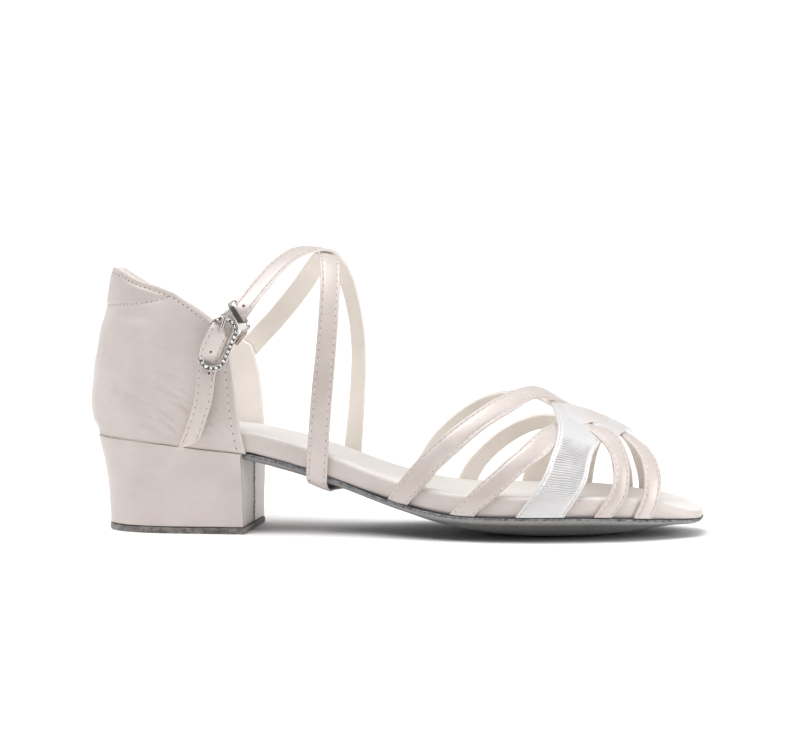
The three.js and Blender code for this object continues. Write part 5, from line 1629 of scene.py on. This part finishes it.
def bead(bits, c, x, y, up, r, mat):
    V, F = [c + up * r], []
    for h, q in ((0.6, 0.8), (-0.1, 1.0), (-0.75, 0.66)):
        for i in range(7):
            a = i * 2 * math.pi / 7
            V.append(c + (x * math.cos(a) + y * math.sin(a)) * r * q + up * r * h)
    V.append(c - up * r)
    for i in range(7):
        j = (i + 1) % 7
        F += [[0, 1 + i, 1 + j], [1 + i, 8 + i, 8 + j, 1 + j], [8 + i, 15 + i, 15 + j, 8 + j], [15 + i, 22, 15 + j]]
    bits.add(np.array(V), facing_out(np.array(V), F), mat)


def buckle_pieces():
    bits = Bits()
    mid, nor = stadium(FRAME_L - FRAME_RIM, FRAME_W - FRAME_RIM, 112)
    space = lambda a, c, h: in_buckle(a, c, h)
    h = FRAME_T / 2
    profile = [(1.10, -0.55), (1.13, 0.0), (1.10, 0.62), (0.98, 0.86), (0.80, 0.86), (0.72, 0.55), (0.70, 0.28),
               (-0.70, 0.28), (-0.72, 0.50), (-0.80, 0.74), (-0.98, 0.74), (-1.08, 0.50), (-1.10, 0.0), (-1.02, -0.6), (-0.85, -0.88), (0.85, -0.88), (1.02, -0.78)]
    closed_sweep(bits, mid, nor, profile, space, lambda j: 1 if j == 6 else 0)
    half = FRAME_W / 2 - FRAME_RIM / 2
    rod(bits, in_buckle(0, -half, -2.0), in_buckle(0, half, -2.0), BAR_R, 0, up=b_out)
    for s in (-1, 1):
        rod(bits, in_buckle(0, s * half, -2.5), in_buckle(0, s * half, 0.1), BAR_R * 0.95, 0, up=b_along)
    stand_for(bits.build("buckle_frame_metal", [CHROME, SETTING]), "bright_metal", "buckle_frame")
    stones = Bits()
    n = 25
    c, d = stadium(FRAME_L - FRAME_RIM, FRAME_W - FRAME_RIM, n)
    for i in range(n):
        o3 = b_along * d[i][0] + b_across * d[i][1]
        t3 = np.cross(b_out, o3)
        p = in_buckle(c[i][0], c[i][1], 0.62)
        gem(stones, p, o3, t3, b_out, 0.74, 0)
    m, e = stadium(FRAME_L - FRAME_RIM, FRAME_W - FRAME_RIM, 2 * n)
    for i in range(1, 2 * n, 2):
        for s in (-1, 1):
            o3 = b_along * e[i][0] + b_across * e[i][1]
            p = in_buckle(m[i][0], m[i][1], 0.70) + o3 * 0.60 * s
            bead(stones, p, o3, np.cross(b_out, o3), b_out, 0.17, 1)
    stand_for(stones.build("buckle_stones", [STONE, CHROME], flat=True), "bright_metal", "buckle_frame")
    pr = Bits()
    for s in (-0.45, 0.45):
        rod(pr, in_buckle(5.2, 0.95 + s * 0.7, 1.75), in_buckle(11.6, 1.55 + s, 1.75), 0.36, 0, up=b_out, taper=0.95)
    rod(pr, in_buckle(11.5, 0.9, 1.75), in_buckle(11.5, 2.2, 1.75), 0.36, 0, up=b_out)
    rod(pr, in_buckle(4.7, 0.9, -0.6), in_buckle(5.35, 0.95, 1.95), 0.55, 0, up=b_along)
    rod(pr, in_buckle(5.6, 1.0, 1.62), in_buckle(11.2, 1.55, 1.64), 0.22, 1, up=b_out)
    stand_for(pr.build("buckle_prong_metal", [CHROME, SETTING]), "bright_metal", "buckle_prong")
    # leather loop round the bar, flat against the counter
    rows = []
    for a, o in ((-8.4, -3.95), (-6.0, -3.92), (-3.6, -3.72)):
        rows.append([*in_buckle(a, 0, o), *b_out, 6.2])
    for i in range(0, 11):
        ang = math.radians(205 - i * 23)
        rows.append([*in_buckle(1.28 * math.cos(ang), 0, -2.0 + 1.28 * math.sin(ang)), *(b_along * math.cos(ang) + b_out * math.sin(ang)), 6.2])
    for a, o in ((3.6, -3.72), (6.0, -3.92), (8.4, -3.95)):
        rows.append([*in_buckle(a, 0, o), *b_out, 6.2])
    (tab, lines), _ = ribbon_piece("buckle_tab_satin", rows, 0.5, [STRAP, LINING], 71, 5, 4, 0.0, 1.0, 0.02)
    stand_for(tab, "strap_satin", "buckle_tab")


def keeper_pieces():
    bits = Bits()
    wide = unit(KEEPER_WIDE)
    out = unit(KEEPER_OUT - np.dot(KEEPER_OUT, wide) * wide)
    third = np.cross(wide, out)
    mid, nor = stadium(2 * KEEPER_HALF + KEEPER_THICK, 2 * KEEPER_DEEP + KEEPER_THICK, 88)
    hb, ht = 1.6, KEEPER_THICK / 2
    profile = [(-ht, -hb + 0.15), (-ht + 0.12, -hb), (ht - 0.25, -hb), (ht - 0.06, -hb + 0.22), (ht + 0.02, -hb * 0.5), (ht + 0.05, 0.0),
               (ht + 0.02, hb * 0.5), (ht - 0.06, hb - 0.22), (ht - 0.25, hb), (-ht + 0.12, hb), (-ht, hb - 0.15)]
    space = lambda a, c, h: KEEPER_CENTRE + wide * (a + 1.6) + out * (c + math.copysign(0.8 * max(0.0, 1 - (a / 6.6) ** 2), c)) + third * h
    closed_sweep(bits, mid, nor, profile, space, lambda j: 0)
    stand_for(bits.build("keeper_loop", [CHROME]), "bright_metal", "strap_keeper")
    wide_leg = [[*r[:6], w] for r, w in zip(KEEPER_LEG, (2.6, 2.7, 2.4, 2.1))]
    # the leg's tan colour is a painted reflection
    (leg, _), _ = ribbon_piece("keeper_leg", wide_leg, KEEPER_THICK, [WARM_REFLECTION, WARM_REFLECTION], 72, 8, 3, 0.0, 0.5, 0.0)
    stand_for(leg, "bright_metal", "strap_keeper")


buckle_pieces()
keeper_pieces()


# ------------------------------------------------------------------- room
def room():
    me = bpy.data.meshes.new("floor")
    s = 30.0
    me.from_pydata([(-s, -s, 0), (s, -s, 0), (s, s, 0), (-s, s, 0)], [], [(0, 1, 2, 3)])
    o = bpy.data.objects.new("floor", me)
    bpy.context.scene.collection.objects.link(o)
    o.location.z = -0.00002
    m, nt, b = nodes_of("floor_paint")
    b.inputs["Base Color"].default_value = (0.94, 0.94, 0.94, 1)
    b.inputs["Roughness"].default_value = 0.8
    b.inputs["Specular IOR Level"].default_value = 0.2
    me.materials.append(m)

    w = bpy.data.worlds.new("studio")
    bpy.context.scene.world = w
    w.use_nodes = True
    nt = w.node_tree
    nt.nodes.clear()
    out = nt.nodes.new("ShaderNodeOutputWorld")
    bg = nt.nodes.new("ShaderNodeBackground")
    tc = nt.nodes.new("ShaderNodeTexCoord")
    sep = nt.nodes.new("ShaderNodeSeparateXYZ")
    nt.links.new(tc.outputs["Generated"], sep.inputs[0])
    col = ramp(nt, sep.outputs[2], [(0.0, (1.15, 1.15, 1.15)), (0.03, (1.15, 1.15, 1.15)), (0.07, (0.64, 0.64, 0.64)), (0.42, (0.62, 0.615, 0.61)), (0.80, (0.98, 0.98, 0.98))])
    ahead = ramp(nt, calc(nt, "MULTIPLY_ADD", sep.outputs[1], 0.5, 0.5), [(0.16, (0.22, 0.21, 0.205)), (0.46, (1, 1, 1))])
    low = ramp(nt, sep.outputs[2], [(0.45, (0, 0, 0)), (0.75, (1, 1, 1))])
    col = mix(nt, 1.0, col, mix(nt, low, ahead, (1, 1, 1)), "MULTIPLY")
    nt.links.new(col, bg.inputs[0])
    bg.inputs[1].default_value = 1.0
    nt.links.new(bg.outputs[0], out.inputs[0])

    def area(name, at, look, size, power, size_y=None, colour=(1, 1, 1)):
        l = bpy.data.lights.new(name, "AREA")
        l.shape = "RECTANGLE"
        l.size, l.size_y = size, size_y or size
        l.energy = power
        l.color = colour
        ob = bpy.data.objects.new(name, l)
        bpy.context.scene.collection.objects.link(ob)
        ob.location = at
        ob.rotation_euler = (Vector(look) - Vector(at)).to_track_quat("-Z", "Y").to_euler()
    sun = bpy.data.lights.new("sky_glow", "SUN")
    sun.energy = 2.2
    sun.angle = math.radians(50)
    ob = bpy.data.objects.new("sky_glow", sun)
    bpy.context.scene.collection.objects.link(ob)
    ob.rotation_euler = Vector((-0.32, -0.36, 1.0)).to_track_quat("Z", "Y").to_euler()
    area("right", (1.1, -0.30, 0.40), (0.05, 0.0, 0.03), 0.5, 5.5)


def camera():
    az, el, dist = math.radians(6.7), math.radians(4.4), 1700.0
    back = np.array([math.sin(az) * math.cos(el), -math.cos(az) * math.cos(el), math.sin(el)])
    target = np.array([122.0, 0.0, 64.3])
    cam = bpy.data.cameras.new("camera")
    cam.sensor_fit = "HORIZONTAL"
    cam.sensor_width = 36.0
    cam.lens = 2.47 * dist / 790 * 36.0
    cam.clip_start, cam.clip_end = 0.05, 100.0
    ob = bpy.data.objects.new("camera", cam)
    bpy.context.scene.collection.objects.link(ob)
    ob.location = Vector(place(target + back * dist))
    ob.rotation_euler = (Vector(place(target)) - ob.location).to_track_quat("-Z", "Y").to_euler()
    bpy.context.scene.camera = ob


room()
camera()
bpy.context.scene.view_settings.view_transform = "Standard"
bpy.context.scene.view_settings.look = "None"
